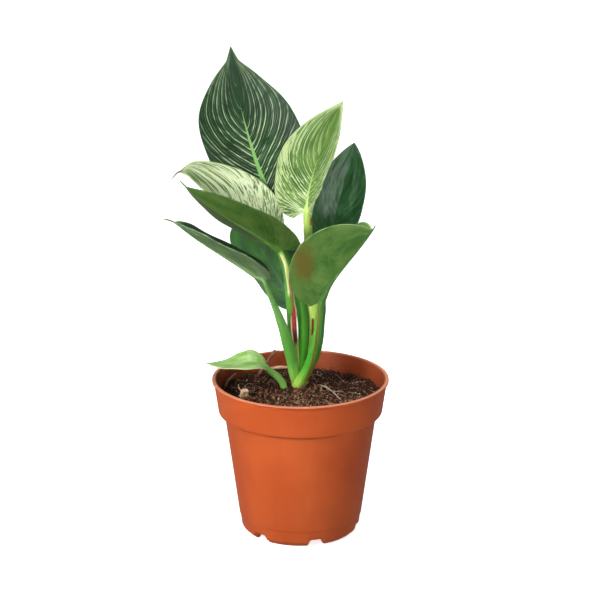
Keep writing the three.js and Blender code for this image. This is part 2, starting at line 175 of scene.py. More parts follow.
def smoothPath(points, steps):
    # a smooth curve through points of (x, y, z, radius), with so many steps between two of them
    knots = [Vector(p) for p in points]
    knots = [2 * knots[0] - knots[1], *knots, 2 * knots[-1] - knots[-2]]
    path = []
    for a, b, c, d in zip(knots, knots[1:], knots[2:], knots[3:]):
        for step in range(steps):
            t = step / steps
            path.append(0.5 * (2 * b + (c - a) * t + (2 * a - 5 * b + 4 * c - d) * t ** 2
                               + (3 * b - a - 3 * c + d) * t ** 3))
    path.append(knots[-2])
    return path


def runLengths(path, unit=1):
    # the length passed at each point of a path
    lengths = [0]
    for a, b in zip(path, path[1:]):
        lengths.append(lengths[-1] + (b.xyz - a.xyz).length * unit)
    return lengths


def squareTo(direction, towards):
    # a vector turned square to a direction, and the one beside it that is square to both
    front = Vector(towards)
    front = (front - direction * front.dot(direction)).normalized()
    return front, direction.cross(front)


def growTube(mesh, path, sides, heights=None, ridges=0.0, ridgeCount=5):
    # closed tube along path of (x, y, z, radius) in millimetres; its map holds the turn round the
    # tube and, along it, either the given heights or metres
    uvLayer = mesh.loops.layers.uv.get("tubeMap") or mesh.loops.layers.uv.new("tubeMap")
    heights = heights or runLengths(path, mm)
    path = [Vector((*path[0][:3], 0)), *path, Vector((*path[-1][:3], 0))]
    heights = [heights[0], *heights, heights[-1]]
    rows = len(path) - 1
    grid = bmesh.ops.create_grid(mesh, x_segments=sides, y_segments=rows, size=1)["verts"]
    for face in {face for vert in grid for face in vert.link_faces}:
        for loop in face.loops:
            row = round((loop.vert.co.y + 1) / 2 * rows)
            loop[uvLayer].uv = ((loop.vert.co.x + 1) / 2, heights[row])
    for vert in grid:
        row = round((vert.co.y + 1) / 2 * rows)
        turn = vert.co.x * math.pi
        before, after = path[max(row - 2, 0)], path[min(row + 2, rows)]
        front, side = squareTo((after.xyz - before.xyz).normalized(), (0, -1, 0))
        radius = path[row].w * (1 + ridges * math.cos(ridgeCount * turn + 0.8))
        vert.co = (path[row].xyz + (front * math.cos(turn) + side * math.sin(turn)) * radius) * mm
    bmesh.ops.remove_doubles(mesh, verts=grid, dist=2e-6)


pot = {
    "rimRadius": 52.5, "height": 94.4, "rimBead": 1.3, "rimWidth": 2.4,
    "collarTop": 51.4, "collarBottom": 48.9, "collarHeight": 74.8,
    "bodyTop": 45.3, "bodyHeight": 73.5, "foot": 35.2, "footLine": 10,
    "wall": 1.3, "floor": 5.4, "pad": 14,  # the pad is low, under the middle of the floor
    "ring": 32.4, "ringInner": 30.2,  # the foot ring where it stands
    "notches": 6, "notchTurn": 16.5, "notchWidth": 9, "notchHeight": 3.4,
    "notchSlope": 2.4,  # how far each side of a notch leans out
    "notchReach": 8.0,  # height over which a notch squeezes the wall above it
    "steps": 288, "cornerSteps": 5, "sharp": 40,
    # the lip's paler colour below is a painted highlight
    "lit": "cf602c", "deep": "bc4d20", "lipHighlight": "efb090", "dust": "5e3523", "innerShade": "7c3a22",
    # the collar's darker inside colour below is painted shade
    "lipHighlightShare": 0.5, "dustShare": 0.8, "innerShadeShare": 0.7,
    "dustAbove": 5, "dustBelow": 3,  # the dust fades out between these heights from the soil's top
}


def outerRadius(height):
    if height < pot["collarHeight"]:
        return pot["foot"] + (pot["bodyTop"] - pot["foot"]) * height / pot["bodyHeight"]
    share = (height - pot["collarHeight"]) / (pot["height"] - pot["collarHeight"])
    return pot["collarBottom"] + (pot["collarTop"] - pot["collarBottom"]) * share


def innerRadius(height):
    return outerRadius(height) - pot["wall"]


def potMaterial():
    # injection-moulded polypropylene: dull sheen, cloudy pigment, faint upright flow marks
    material, shader, add = newMaterial("terracottaPolypropylene", 0.5, 1.49, specular=0.22)
    coords = add("TexCoord", {}).outputs["Object"]
    cloud = add("TexNoise", {"Scale": 30, "Detail": 2, "Vector": coords})
    stretched = add("Mapping", {"Scale": (1, 1, 0.1), "Vector": coords})
    flow = add("TexNoise", {"Scale": 90, "Detail": 3, "Vector": stretched})
    blend = add("Math", {"operation": "MULTIPLY_ADD", 0: flow, 1: 0.4, 2: cloud})
    colour = add("ValToRGB", {"stops": [(0.4, pot["deep"]), (1.0, pot["lit"])], "Fac": blend})
    # painted highlight: the lip's top is painted paler, standing in for the light that falls on it
    height = add("SeparateXYZ", {0: coords}).outputs["Z"]
    lip = add("MapRange", {
        "interpolation_type": "SMOOTHSTEP", "From Min": (pot["height"] - 0.7) * mm,
        "From Max": (pot["height"] - 0.1) * mm, "To Max": pot["lipHighlightShare"], "Value": height})
    colour = add("Mix", {"data_type": "RGBA", 0: lip, 6: colour, 7: pot["lipHighlight"]})
    # painted shade: the collar's inside is painted darker, standing in for the shade within the
    # pot; it lies within a line down the middle of its wall
    distance = add("VectorMath", {"operation": "MULTIPLY", 0: coords, 1: (1, 1, 0)})
    radius = add("VectorMath", {"operation": "LENGTH", 0: distance})
    wallLine = add("MapRange", {
        "clamp": False, "From Min": pot["collarHeight"] * mm, "From Max": pot["height"] * mm,
        "To Min": (pot["collarBottom"] - 0.7) * mm, "To Max": (pot["collarTop"] - 0.7) * mm,
        "Value": height})
    within = add("Math", {"operation": "LESS_THAN", 0: radius, 1: wallLine})
    collarOnly = add("Math", {"operation": "GREATER_THAN", 0: height,
                              1: (pot["collarHeight"] + 1) * mm})
    inside = add("Math", {"operation": "MULTIPLY", 0: within, 1: collarOnly})
    paintedInnerShade = add("Math", {"operation": "MULTIPLY", 0: inside, 1: pot["innerShadeShare"]})
    colour = add("Mix", {"data_type": "RGBA", 0: paintedInnerShade, 6: colour, 7: pot["innerShade"]})
    # and carries fine soil dust, thickest near the soil
    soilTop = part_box("soil")[1][2]
    dustLine = add("MapRange", {
        "From Min": soilTop + pot["dustAbove"] * mm, "From Max": soilTop - pot["dustBelow"] * mm,
        "To Max": pot["dustShare"], "Value": height})
    grit = add("TexNoise", {"Scale": 900, "Detail": 4, "Vector": coords})  # specks of about 1 mm
    speck = add("MapRange", {"From Min": 0.48, "From Max": 0.62, "Value": grit})
    onWall = add("Math", {"operation": "MULTIPLY", 0: dustLine, 1: inside})
    amount = add("Math", {"operation": "MULTIPLY", 0: onWall, 1: speck})
    colour = add("Mix", {"data_type": "RGBA", 0: amount, 6: colour, 7: pot["dust"]})
    gloss = add("MapRange", {"To Min": 0.42, "To Max": 0.58, "Value": cloud})
    grain = add("TexNoise", {"Scale": 2600, "Detail": 1, "Vector": coords})  # mould grain, 0.4 mm
    bump = add("Bump", {"Strength": 0.25, "Distance": 0.03 * mm, "Height": grain})
    setNode(shader, {"Base Color": colour, "Roughness": gloss, "Normal": bump})
    return material


def notchLift(angle):
    # how far the foot's lower edge is raised, from 0 to 1, at an angle from the front
    pitch = math.tau / pot["notches"]
    off = (angle - math.radians(pot["notchTurn"]) + pitch / 2) % pitch - pitch / 2
    across = abs(off) * pot["foot"]
    slope = pot["notchSlope"]
    return smoothStep((pot["notchWidth"] / 2 + slope / 2 - across) / slope, 0, 1)


def makePot():
    p = pot
    step = p["bodyHeight"] + p["wall"]
    floorTop = p["floor"] + p["wall"]
    corners = [
        (0, 0, 0), (p["pad"] - 0.2, 0, 0), (p["pad"], 0.3, 0),
        (p["pad"] + 1, p["floor"] - 0.6, 0), (p["pad"] + 2, p["floor"], 0),
        (p["ringInner"] + 1.4, p["floor"], 0.8), (p["ringInner"], 0, 0.5), (p["ring"], 0, 0.6),
        (p["ring"] + 0.9, 1.3, 0.4), (p["ring"] + 2.1, 2, 0.5), (p["ring"] + 2.9, 3.2, 0.8),
        (p["ring"] + 3.8, p["footLine"], 0.15),
        (outerRadius(p["footLine"] + 0.5), p["footLine"] + 0.5, 0.25),
        (outerRadius(30), 30, 0), (outerRadius(55), 55, 0),
        (p["bodyTop"] - 0.1, p["bodyHeight"] - 1, 0.5),
        (p["bodyTop"] + 0.9, p["bodyHeight"] - 0.1, 0.4),
        (p["collarBottom"] - 0.2, p["collarHeight"] - 0.6, 0.9), (outerRadius(82), 82, 0),
        (p["collarTop"], p["height"] - p["rimBead"] - 0.5, 0.4),
        (p["rimRadius"], p["height"] - p["rimBead"], 0.4), (p["rimRadius"], p["height"], 0.5),
        (p["rimRadius"] - p["rimWidth"], p["height"], 0.6), (innerRadius(88), 88, 0),
        (innerRadius(step + 1.6), step + 1.6, 1), (p["bodyTop"] - p["wall"], step, 1),
        (innerRadius(40), 40, 0), (innerRadius(floorTop), floorTop, 1.5), (0, floorTop, 0),
    ]
    mesh = spinProfile(roundCorners(corners, p["cornerSteps"]), p["steps"])
    reach = p["notchReach"] * mm
    for vert in mesh.verts:
        x, y, z = vert.co
        if math.hypot(x, y) < (p["ringInner"] - 0.9) * mm or z >= reach:
            continue
        lift = notchLift(math.atan2(x, -y)) * p["notchHeight"] * mm
        vert.co.z = z + lift * (1 - z / reach)
    return finishPiece("nurseryPot", mesh, [potMaterial()], ["pot"], p["sharp"])


makePot()
print("pot made")

soil = {
    "level": 83.6, "mound": 3.2, "stem": (-0.6, 10.2), "hollow": (21, 29), "reach": 8, "depth": 3,
    "clearance": 0.3, "stemClear": 5, "rings": 96, "steps": 260,
    "lumps": ((5.5, 1.2), (2.2, 0.9), (0.9, 0.4)),  # size and height of the crumbly relief
    "dark": "150b07", "mid": "44291c", "light": "8a5c40", "grain": 1.6, "tone": 0.1,
}


def soilHeight(x, y):
    # height in millimetres: as on the solid, low waves, a mound round the stem and a sunken spot,
    # and over them the crumbly relief
    fromStem = math.hypot(x - soil["stem"][0], y - soil["stem"][1])
    fromHollow = math.hypot(x - soil["hollow"][0], y - soil["hollow"][1])
    waves = (0.5 * math.sin(0.31 * x + 1.3) * math.cos(0.27 * y)
             + 0.35 * math.sin(0.62 * y + 0.43 * x))
    ground = (soil["level"] + waves + soil["mound"] * math.exp(-(fromStem / 16) ** 2)
              - soil["depth"] * math.exp(-(fromHollow / soil["reach"]) ** 2))
    relief = sum(height * noise.noise(Vector((x, y, 7.1)) / size) for size, height in soil["lumps"])
    return ground + relief


def peatMaterial(name, look):
    # moist peat mix: matt, near black in the gaps, warm brown on the crumbs; tone is set per crumb
    material, shader, add = newMaterial(name, 0.9, 1.4, specular=0.3)
    coords = add("TexCoord", {}).outputs["Object"]
    grain = add("TexNoise", {"Scale": 1000 / look["grain"], "Detail": 5, "Roughness": 0.65,
                             "Vector": coords})
    tone = add("Attribute", {"attribute_name": "tone"}).outputs["Fac"]
    mixed = add("Math", {"operation": "MULTIPLY_ADD", 0: tone, 1: 0.55, 2: grain})
    colour = add("ValToRGB", {"stops": [(0.38, look["dark"]), (0.66, look["mid"]),
                                        (1.0, look["light"])], "Fac": mixed})
    bump = add("Bump", {"Strength": 0.7, "Distance": 0.25 * mm, "Height": grain})
    setNode(shader, {"Base Color": colour, "Normal": bump})
    return material


def dryMaterial(name, look, roughness):
    # dry plant matter: matt, with cloudy shade changes under a millimetre across
    material, shader, add = newMaterial(name, roughness, 1.4)
    coords = add("TexCoord", {}).outputs["Object"]
    grain = add("TexNoise", {"Scale": 1300, "Detail": 3, "Vector": coords})
    colour = add("ValToRGB", {"stops": [(0.35, look["dark"]), (0.65, look["light"])], "Fac": grain})
    bump = add("Bump", {"Strength": 0.5, "Distance": 0.12 * mm, "Height": grain})
    setNode(shader, {"Base Color": colour, "Normal": bump})
    return material


def setTone(verts, layer, tone):
    for vert in verts:
        vert[layer] = tone


def makeSoil():
    low = pot["floor"] + pot["wall"] + soil["clearance"]
    step = pot["bodyHeight"] + pot["wall"]
    inner = innerRadius(soil["level"]) - soil["clearance"]
    profile = [(0, low), (innerRadius(low) - soil["clearance"], low),
               (pot["bodyTop"] - pot["wall"] - soil["clearance"], step),
               (innerRadius(step + 2) - soil["clearance"], step + 2)]
    profile += [(inner * (1 - i / soil["rings"]), soil["level"]) for i in range(soil["rings"] + 1)]
    mesh = spinProfile(profile, soil["steps"])
    for vert in mesh.verts:
        if vert.co.z >= (soil["level"] - 0.01) * mm:
            vert.co.z = soilHeight(vert.co.x / mm, vert.co.y / mm) * mm
    setTone(mesh.verts, mesh.verts.layers.float.new("tone"), soil["tone"])
    return finishPiece("soilBed", mesh, [peatMaterial("moistPeat", soil)], ["soil"])


def inBatches(count, makeOne, batchSize=50):
    # many small pieces in one mesh, made a few dozen at a time because an operator walks its mesh
    whole = bmesh.new()
    for start in range(0, count, batchSize):
        batch = bmesh.new()
        for i in range(start, min(start + batchSize, count)):
            makeOne(batch)
        data = toMesh("batch", batch)
        whole.from_mesh(data)
        bpy.data.meshes.remove(data)
    return whole


def soilPlace(rng, outer):
    # a random place on the soil, even over its area, clear of the stem
    while True:
        radius = outer * math.sqrt(rng.random())
        angle = rng.uniform(0, math.tau)
        x, y = radius * math.cos(angle), radius * math.sin(angle)
        if math.hypot(x - soil["stem"][0], y - soil["stem"][1]) > soil["stemClear"]:
            return x, y


def randomTurn(rng):
    return Euler([rng.uniform(0, math.tau) for axis in range(3)]).to_matrix().to_4x4()


def addLump(mesh, centre, turn, sizes):
    shape = Matrix.Diagonal((*(size * mm for size in sizes), 1))
    place = Matrix.Translation(centre) @ turn @ shape
    return bmesh.ops.create_icosphere(mesh, subdivisions=1, radius=1, matrix=place)["verts"]


crumbs = {
    "count": 4600, "seed": 11, "outer": 46.2, "dark": "1c100a", "mid": "784a34", "light": "b88e6c",
    "smallest": 0.36, "spread": 1.1, "grain": 0.8, "sharp": 20,
    "paintedShade": (-8, 16, 0.25),  # from, to and sideways share: painted shade, darker towards the back and the sides
    "paintedShadeDepth": 0.22, "paintedShadeFlatten": 0.6,  # how much darker the crumbs in the painted shade are, and less varied
}


def makeCrumbs():
    rng = random.Random(crumbs["seed"])
    shadeFrom, shadeTo, sideways = crumbs["paintedShade"]

    def crumb(mesh):
        layer = mesh.verts.layers.float.get("tone") or mesh.verts.layers.float.new("tone")
        x, y = soilPlace(rng, crumbs["outer"])
        size = crumbs["smallest"] + crumbs["spread"] * rng.random() ** 3
        centre = Vector((x, y, soilHeight(x, y) + size * 0.25)) * mm
        lump = addLump(mesh, centre, randomTurn(rng),
                       (size, size * rng.uniform(0.6, 1), size * rng.uniform(0.5, 0.9)))
        for vert in lump:
            vert.co = centre + (vert.co - centre) * rng.uniform(0.6, 1.3)
        # painted shade: crumbs towards the back and the sides are painted darker and less varied
        paintedShade = smoothStep(y + sideways * abs(x), shadeFrom, shadeTo)
        bright = rng.random() ** 3
        setTone(lump, layer, bright * (1 - crumbs["paintedShadeFlatten"] * paintedShade) - crumbs["paintedShadeDepth"] * paintedShade)

    return finishPiece("soilCrumbs", inBatches(crumbs["count"], crumb),
                       [peatMaterial("peatCrumbs", crumbs)], (), crumbs["sharp"])


fibres = {
    "count": 300, "seed": 23, "outer": 42, "edge": 46.5, "dark": "8a6848", "light": "c8a682",
    "radius": (0.06, 0.15), "reach": (0.8, 3), "bend": 0.5, "kink": 0.4, "lift": (0.1, 1.3),
}


def makeFibres():
    # thin bent strands of coir and root that lie over the crumbs
    rng = random.Random(fibres["seed"])

    def fibre(mesh):
        x, y = soilPlace(rng, fibres["outer"])
        heading = rng.uniform(0, math.tau)
        bend = rng.uniform(-fibres["bend"], fibres["bend"])
        reach = rng.uniform(*fibres["reach"])
        radius = rng.uniform(*fibres["radius"])
        points = []
        for knot in range(4):
            points.append((x, y, soilHeight(x, y) + rng.uniform(*fibres["lift"]), radius))
            x += reach * math.cos(heading)
            y += reach * math.sin(heading)
            heading += bend + rng.uniform(-fibres["kink"], fibres["kink"])
        if math.hypot(x, y) < fibres["edge"]:
            growTube(mesh, smoothPath(points, 2), 4)

    return finishPiece("soilFibres", inBatches(fibres["count"], fibre),
                       [dryMaterial("coirFibre", fibres, 0.8)])


specks = {
    "count": 220, "seed": 37, "outer": 45.5, "dark": "a58462", "light": "e4d4bc",
    "size": (0.25, 0.75), "flat": 0.35, "lift": 0.5, "sharp": 20,
}


def makeSpecks():
    # pale flakes of bark and perlite between the crumbs
    rng = random.Random(specks["seed"])

    def speck(mesh):
        x, y = soilPlace(rng, specks["outer"])
        size = rng.uniform(*specks["size"])
        centre = Vector((x, y, soilHeight(x, y) + specks["lift"])) * mm
        addLump(mesh, centre, randomTurn(rng),
                (size, size * rng.uniform(0.4, 1), size * specks["flat"]))

    return finishPiece("soilSpecks", inBatches(specks["count"], speck),
                       [dryMaterial("barkFlakes", specks, 0.75)], (), specks["sharp"])


makeSoil()
makeCrumbs()
makeFibres()
makeSpecks()
print("soil made")

blade = {
    "columns": 44, "rows": 120, "crowd": 1.25,  # columns crowd towards the midrib
    "rowStart": 0.6, "rowBow": 1.3, "thickness": 0.8, "edge": 0.62,
    "marginWave": 0.35, "waves": 2.7,
    "veinBow": 1.15, "fan": 0.3,  # how the side veins bend, and how wide they fan out at the foot
    "slant": 0.35, "slantTo": 0.45, "sweep": 0.832,  # their slant up to slantTo, and beyond it
    "turnFrom": 0.35, "turnOver": 0.35, "turn": 0.72,  # where they turn to run with the midrib
}


def bezier(leaf, along):
    a, b, c, d = [Vector(p) for p in leaf["midrib"]]
    t = clamp(along)
    point = (1 - t) ** 3 * a + 3 * (1 - t) ** 2 * t * b + 3 * (1 - t) * t * t * c + t ** 3 * d
    slope = 3 * (1 - t) ** 2 * (b - a) + 6 * (1 - t) * t * (c - b) + 3 * t * t * (d - c)
    if along < 0:
        point += 3 * (b - a) * along
    return point, slope.normalized()


def bladeFrame(leaf, along):
    # point on the midrib with the blade's upper direction and its right-hand side there
    point, tangent = bezier(leaf, along)
    held = clamp(along)
    upper, side = squareTo(tangent, leaf["face"])
    roll = leaf["roll"][0] + (leaf["roll"][1] - leaf["roll"][0]) * held
    rolledUpper = upper * math.cos(roll) + side * math.sin(roll)
    rolledSide = side * math.cos(roll) - upper * math.sin(roll)
    start = leaf.get("hookStart", 1)
    if held > start:
        point.z += leaf["hook"] * ((held - start) / (1 - start)) ** 2
    return point, rolledUpper, rolledSide


def relativeWidth(leaf, v):
    # half width along the blade, 1 at its widest, drawn out into a drip tip
    rise, fall = leaf["shape"]
    tipWidth, tipFall = leaf.get("tip", (0.05, 0.5))
    s = 0.03 + 0.97 * v
    body = min(s / (1 - leaf["drip"]) + leaf.get("pinch", 0) * smoothStep(s, 0.6, 0.92), 1)
    peak = (rise / (rise + fall)) ** rise * (fall / (rise + fall)) ** fall
    tail = tipWidth * max(1 - s, 0) ** tipFall * smoothStep(s, 0.7, 0.9)
    return math.hypot(body ** rise * (1 - body) ** fall / peak, tail)


def bladeAlong(leaf, u, v):
    # share of the midrib passed at a place on the blade
    marginAlong = -leaf["lobe"] + (1 + leaf["lobe"]) * v
    midribAlong = blade["rowStart"] * v + (1 - blade["rowStart"]) * v ** 7
    return midribAlong + (marginAlong - midribAlong) * abs(u) ** blade["rowBow"]


def veinStart(leaf, u, v):
    # the side veins leave the midrib at a slant and sweep up beside the margin towards the tip:
    # this gives the share of the midrib at which the vein through a place starts, below 0 where
    # the veins fan out from the foot of the blade
    along = bladeAlong(leaf, u, v)
    marginRow = clamp((along + leaf["lobe"]) / (1 + leaf["lobe"]))
    share = abs(u) * relativeWidth(leaf, v) / max(relativeWidth(leaf, marginRow), 0.01)
    sweep = max(min(share, 1), 0.02) ** blade["veinBow"]
    late = clamp((along - blade["turnFrom"]) / blade["turnOver"])
    past = max(along - (blade["turnFrom"] + blade["turnOver"]), 0)
    along -= blade["turn"] * (blade["turnOver"] * (late ** 3 - late ** 4 / 2) + past)
    if along < blade["fan"] * sweep:
        return along / sweep - blade["fan"]
    start = (along - blade["fan"] * sweep) / (1 + blade["slant"] * sweep)
    if start > blade["slantTo"]:
        start = (along - blade["sweep"] * sweep) / (1 - blade["sweep"] * sweep)
    return start


def bladePoint(leaf, u, v):
    # u is -1 and 1 at the margins, v runs from base to tip
    across = relativeWidth(leaf, v) * abs(u)
    along = bladeAlong(leaf, u, v)
    point, upper, side = bladeFrame(leaf, along)
    foldBase, foldTip, bend = leaf["right"] if u >= 0 else leaf["left"]
    fold = foldBase + (foldTip - foldBase) * clamp(along)
    out = (math.sin(fold + bend * across) - math.sin(fold)) / bend * leaf["halfWidth"]
    rise = (math.cos(fold) - math.cos(fold + bend * across)) / bend * leaf["halfWidth"]
    return point + side * (out if u >= 0 else -out) + upper * rise


def midribLength(leaf):
    points = [bezier(leaf, i / 20)[0] for i in range(21)]
    return sum((b - a).length for a, b in zip(points, points[1:]))


def leafPlaces(add):
    # where a point lies on the blade, read from the leaf's own map and attributes: millimetres
    # from the midrib and the margin, share of the midrib, the vein in millimetres along it, and
    # how many of those a millimetre of the blade crosses
    uv = add("UVMap", {"uv_map": "leafMap"})
    turn = add("SeparateXYZ", {0: uv}).outputs["X"]
    places = {"uv": uv, "half": add("Math", {"operation": "GREATER_THAN", 0: turn, 1: 0.5})}
    for name in ("across", "margin", "along", "vein", "spread"):
        places[name] = add("Attribute", {"attribute_name": name}).outputs["Fac"]
    return places


def drawVeins(add, places, look, colour, held=None):
    # thin lines along the side veins, each set with its gap on the midrib and its width all the
    # way along, both in millimetres, its strength and its seed
    for gap, width, strength, seed in look["lines"]:
        wobble = add("TexNoise", {"Scale": 5 + seed, "Detail": 1, "Vector": places["uv"]})
        row = add("Math", {"operation": "MULTIPLY", 0: places["vein"], 1: 1 / gap})
        row = add("Math", {"operation": "MULTIPLY_ADD", 0: wobble, 1: 0.5, 2: row})
        row = add("Math", {"operation": "MULTIPLY_ADD", 0: places["half"], 1: 17.3 + seed, 2: row})
        cells = add("TexVoronoi", {"voronoi_dimensions": "1D", "Scale": 1, "Randomness": 0.55,
                                   "W": row})
        spaced = add("Math", {"operation": "MULTIPLY", 0: cells.outputs["Distance"], 1: gap})
        distance = add("Math", {"operation": "DIVIDE", 0: spaced, 1: places["spread"]})
        line = add("MapRange", {"interpolation_type": "SMOOTHSTEP", "From Min": width,
                                "From Max": 0.3 * width, "To Max": strength, "Value": distance})
        if held:
            line = add("Math", {"operation": "MULTIPLY", 0: line, 1: held})
        colour = add("Mix", {"data_type": "RGBA", 0: line, 6: colour, 7: look["lineColour"]})
    return colour


def drawMidrib(add, places, look, colour):
    # the midrib is a pale band that narrows towards the tip
    band = add("MapRange", {"From Min": 0, "From Max": look["midribEnd"],
                            "To Min": look["midribWidth"], "To Max": 0, "Value": places["along"]})
    near = add("Math", {"operation": "SUBTRACT", 0: band, 1: places["across"]})
    low, high = look["midribSoft"]
    mask = add("MapRange", {"interpolation_type": "SMOOTHSTEP", "From Min": low, "From Max": high,
                            "To Max": look["midribStrength"], "Value": near})
    return add("Mix", {"data_type": "RGBA", 0: mask, 6: colour, 7: look["midrib"]})


def drawFlecks(add, places, look, colour, tipFade):
    # long flecks of a second colour that follow the side veins, washed together at the margin
    spot = add("CombineXYZ", {"X": places["across"], "Y": places["vein"], "Z": places["half"]})
    stretched = add("Mapping", {"Scale": (1 / look["streakLength"], 1 / look["streakWidth"], 9.7),
                                "Vector": spot})
    flecks = add("TexNoise", {"Scale": 1, "Detail": 4, "Roughness": 0.62, "Distortion": 0.3,
                              "Vector": stretched})
    patches = add("TexNoise", {"Scale": 2.6, "Detail": 2, "Vector": places["uv"]})
    total = add("Math", {"operation": "MULTIPLY_ADD", 0: patches, 1: look["patchiness"], 2: flecks})
    total = add("Math", {"operation": "MULTIPLY_ADD", 0: places["half"], 1: look["rightBias"],
                         2: total})
    edge = add("MapRange", {"From Min": look["washReach"], "From Max": 0, "To Max": look["wash"],
                            "Value": places["margin"]})
    lower = add("MapRange", {"From Min": 0.85, "From Max": 0.35, "Value": places["along"]})
    wash = add("Math", {"operation": "MULTIPLY", 0: edge, 1: lower})
    total = add("Math", {"operation": "ADD", 0: total, 1: wash})
    limit = 0.645 + 0.5 * look["patchiness"] - 0.32 * look["streakShare"]
    mask = add("MapRange", {"interpolation_type": "SMOOTHSTEP", "From Min": limit - 0.025,
                            "From Max": limit + 0.025, "Value": total})
    faded = add("Math", {"operation": "MULTIPLY", 0: mask, 1: tipFade})
    return flecks, add("Mix", {"data_type": "RGBA", 0: faded, 6: colour, 7: look["streak"]})


usualUpper = {  # what a leaf's upper side has where the leaf itself says nothing
    "tipStart": 0.3, "tipEnd": 0.8, "tipLeft": 0.3,  # the lines fade towards the tip
    "outerLeft": 1, "marginWidth": 0.5, "midribStrength": 1, "midribSoft": (-0.15, 0.3),
    "rightBias": 0, "dryFrom": 0.96, "dry": "4b4534", "gloss": 0.36, "specular": 0.5,
    "pucker": 0.3, "puckerDepth": 1.5, "puckerScale": (7, 2.6, 1),
}
usualUnder = {"midribEnd": 0.9, "midribStrength": 0.7, "midribSoft": (-0.5, 0.6)}


def leafUpper(leaf):
    # waxy living leaf, upper side: satin gloss, dark green cut by cream side veins and streaks
    look = {**usualUpper, **leaf["upper"]}
    length = midribLength(leaf)
    material, shader, add = newMaterial("waxyLeaf" + leaf["title"], 0.4, 1.42, 0.15,
                                        look["specular"])
    places = leafPlaces(add)
    uv, margin, along = places["uv"], places["margin"], places["along"]
    cloud = relief = add("TexNoise", {"Scale": 3.2, "Detail": 3, "Vector": uv})
    colour = add("ValToRGB", {"stops": [(0.38, look["deep"]), (0.62, look["base"])], "Fac": cloud})
    tipFade = add("MapRange", {
        "interpolation_type": "SMOOTHSTEP", "From Min": look["tipStart"] * length,
        "From Max": look["tipEnd"] * length, "To Min": 1, "To Max": look["tipLeft"],
        "Value": places["vein"]})
    if "streak" in look:
        relief, colour = drawFlecks(add, places, look, colour, tipFade)
    # the lines break off in places, and fade near the margin and the tip
    slender = add("Mapping", {"Scale": (5, 26, 1), "Vector": uv})
    strength = add("TexNoise", {"Scale": 1, "Detail": 2, "Vector": slender})
    held = add("MapRange", {"From Min": 0.3, "From Max": 0.58, "Value": strength})
    outer = add("MapRange", {"From Min": 1, "From Max": 15, "To Min": look["outerLeft"],
                             "Value": margin})
    nearTip = add("MapRange", {"From Min": 0.7, "From Max": 0.95, "To Min": 1,
                               "To Max": look["tipLeft"], "Value": along})
    for factor in (outer, tipFade, nearTip):
        held = add("Math", {"operation": "MULTIPLY", 0: held, 1: factor})
    colour = drawVeins(add, places, look, colour, held)
    colour = drawMidrib(add, places, look, colour)
    edge = add("MapRange", {"From Min": look["marginWidth"], "From Max": 0.15, "To Max": 0.8,
                            "Value": margin})
    colour = add("Mix", {"data_type": "RGBA", 0: edge, 6: colour, 7: look["margin"]})
    dry = add("MapRange", {"From Min": look["dryFrom"], "From Max": look["dryFrom"] + 0.03,
                           "Value": along})  # the drip tip is dry and brown
    colour = add("Mix", {"data_type": "RGBA", 0: dry, 6: colour, 7: look["dry"]})
    gloss = add("MapRange", {"To Min": look["gloss"], "To Max": look["gloss"] + 0.14,
                             "Value": cloud})
    bump = add("Bump", {"Strength": 0.35, "Distance": 0.08 * mm, "Height": relief})
    # the blade is puckered between its veins, which breaks up its sheen
    fold = add("Mapping", {"Scale": look["puckerScale"], "Vector": uv})
    pucker = add("TexNoise", {"Scale": 1, "Detail": 2, "Vector": fold})
    waved = add("Bump", {"Strength": look["pucker"], "Distance": look["puckerDepth"] * mm,
                         "Height": pucker, "Normal": bump})
    setNode(shader, {"Base Color": colour, "Roughness": gloss, "Normal": waved})
    return material


def drawPatch(add, uv, patch, colour):
    # a ragged place of another colour: centre and half size in the leaf's own map
    moved = add("Mapping", {
        "vector_type": "TEXTURE", "Location": (*patch["place"], 0),
        "Rotation": (0, 0, patch["turn"]), "Scale": (*patch["size"], 1), "Vector": uv})
    rough = add("TexNoise", {"Scale": 7, "Detail": 3, "Vector": uv})
    reach = add("VectorMath", {"operation": "LENGTH", 0: moved})
    ragged = add("Math", {"operation": "MULTIPLY_ADD", 0: rough, 1: 0.5, 2: reach})
    mask = add("MapRange", {"interpolation_type": "SMOOTHSTEP", "From Min": 1.5, "From Max": 0.5,
                            "To Max": patch["strength"], "Value": ragged})
    return add("Mix", {"data_type": "RGBA", 0: mask, 6: colour, 7: patch["colour"]})


def leafUnder(leaf):
    # underside of the same leaf: duller and paler, with faint lighter side veins
    look = {**usualUnder, **leaf["under"]}
    material, shader, add = newMaterial("leafUnderside" + leaf["title"], 0.5, 1.4, 0.35, 0.22)
    places = leafPlaces(add)
    uv = places["uv"]
    cloud = add("TexNoise", {"Scale": 3.6, "Detail": 5, "Roughness": 0.6, "Vector": uv})
    colour = add("ValToRGB", {"stops": [(0.38, look["deep"]), (0.62, look["base"])], "Fac": cloud})
    colour = drawVeins(add, places, look, colour)
    if "patch" in look:
        colour = drawPatch(add, uv, look["patch"], colour)
    colour = drawMidrib(add, places, look, colour)
    gloss = add("MapRange", {"To Min": 0.42, "To Max": 0.58, "Value": cloud})
    grain = add("TexNoise", {"Scale": 160, "Detail": 2, "Vector": uv})
    bump = add("Bump", {"Strength": 0.2, "Distance": 0.06 * mm, "Height": grain})
    setNode(shader, {"Base Color": colour, "Roughness": gloss, "Normal": bump})
    return material


def leafEdge(leaf):
    # the thin cut margin, a shade paler than the blade
    material, shader, add = newMaterial("leafMargin" + leaf["title"], 0.5, 1.42)
    uv = add("UVMap", {"uv_map": "leafMap"})
    shade = add("TexNoise", {"Scale": 14, "Vector": uv})
    colour = add("ValToRGB", {"stops": [(0.35, leaf["upper"]["base"]),
                                        (0.6, leaf["upper"]["margin"])], "Fac": shade})
    setNode(shader, {"Base Color": colour})
    return material


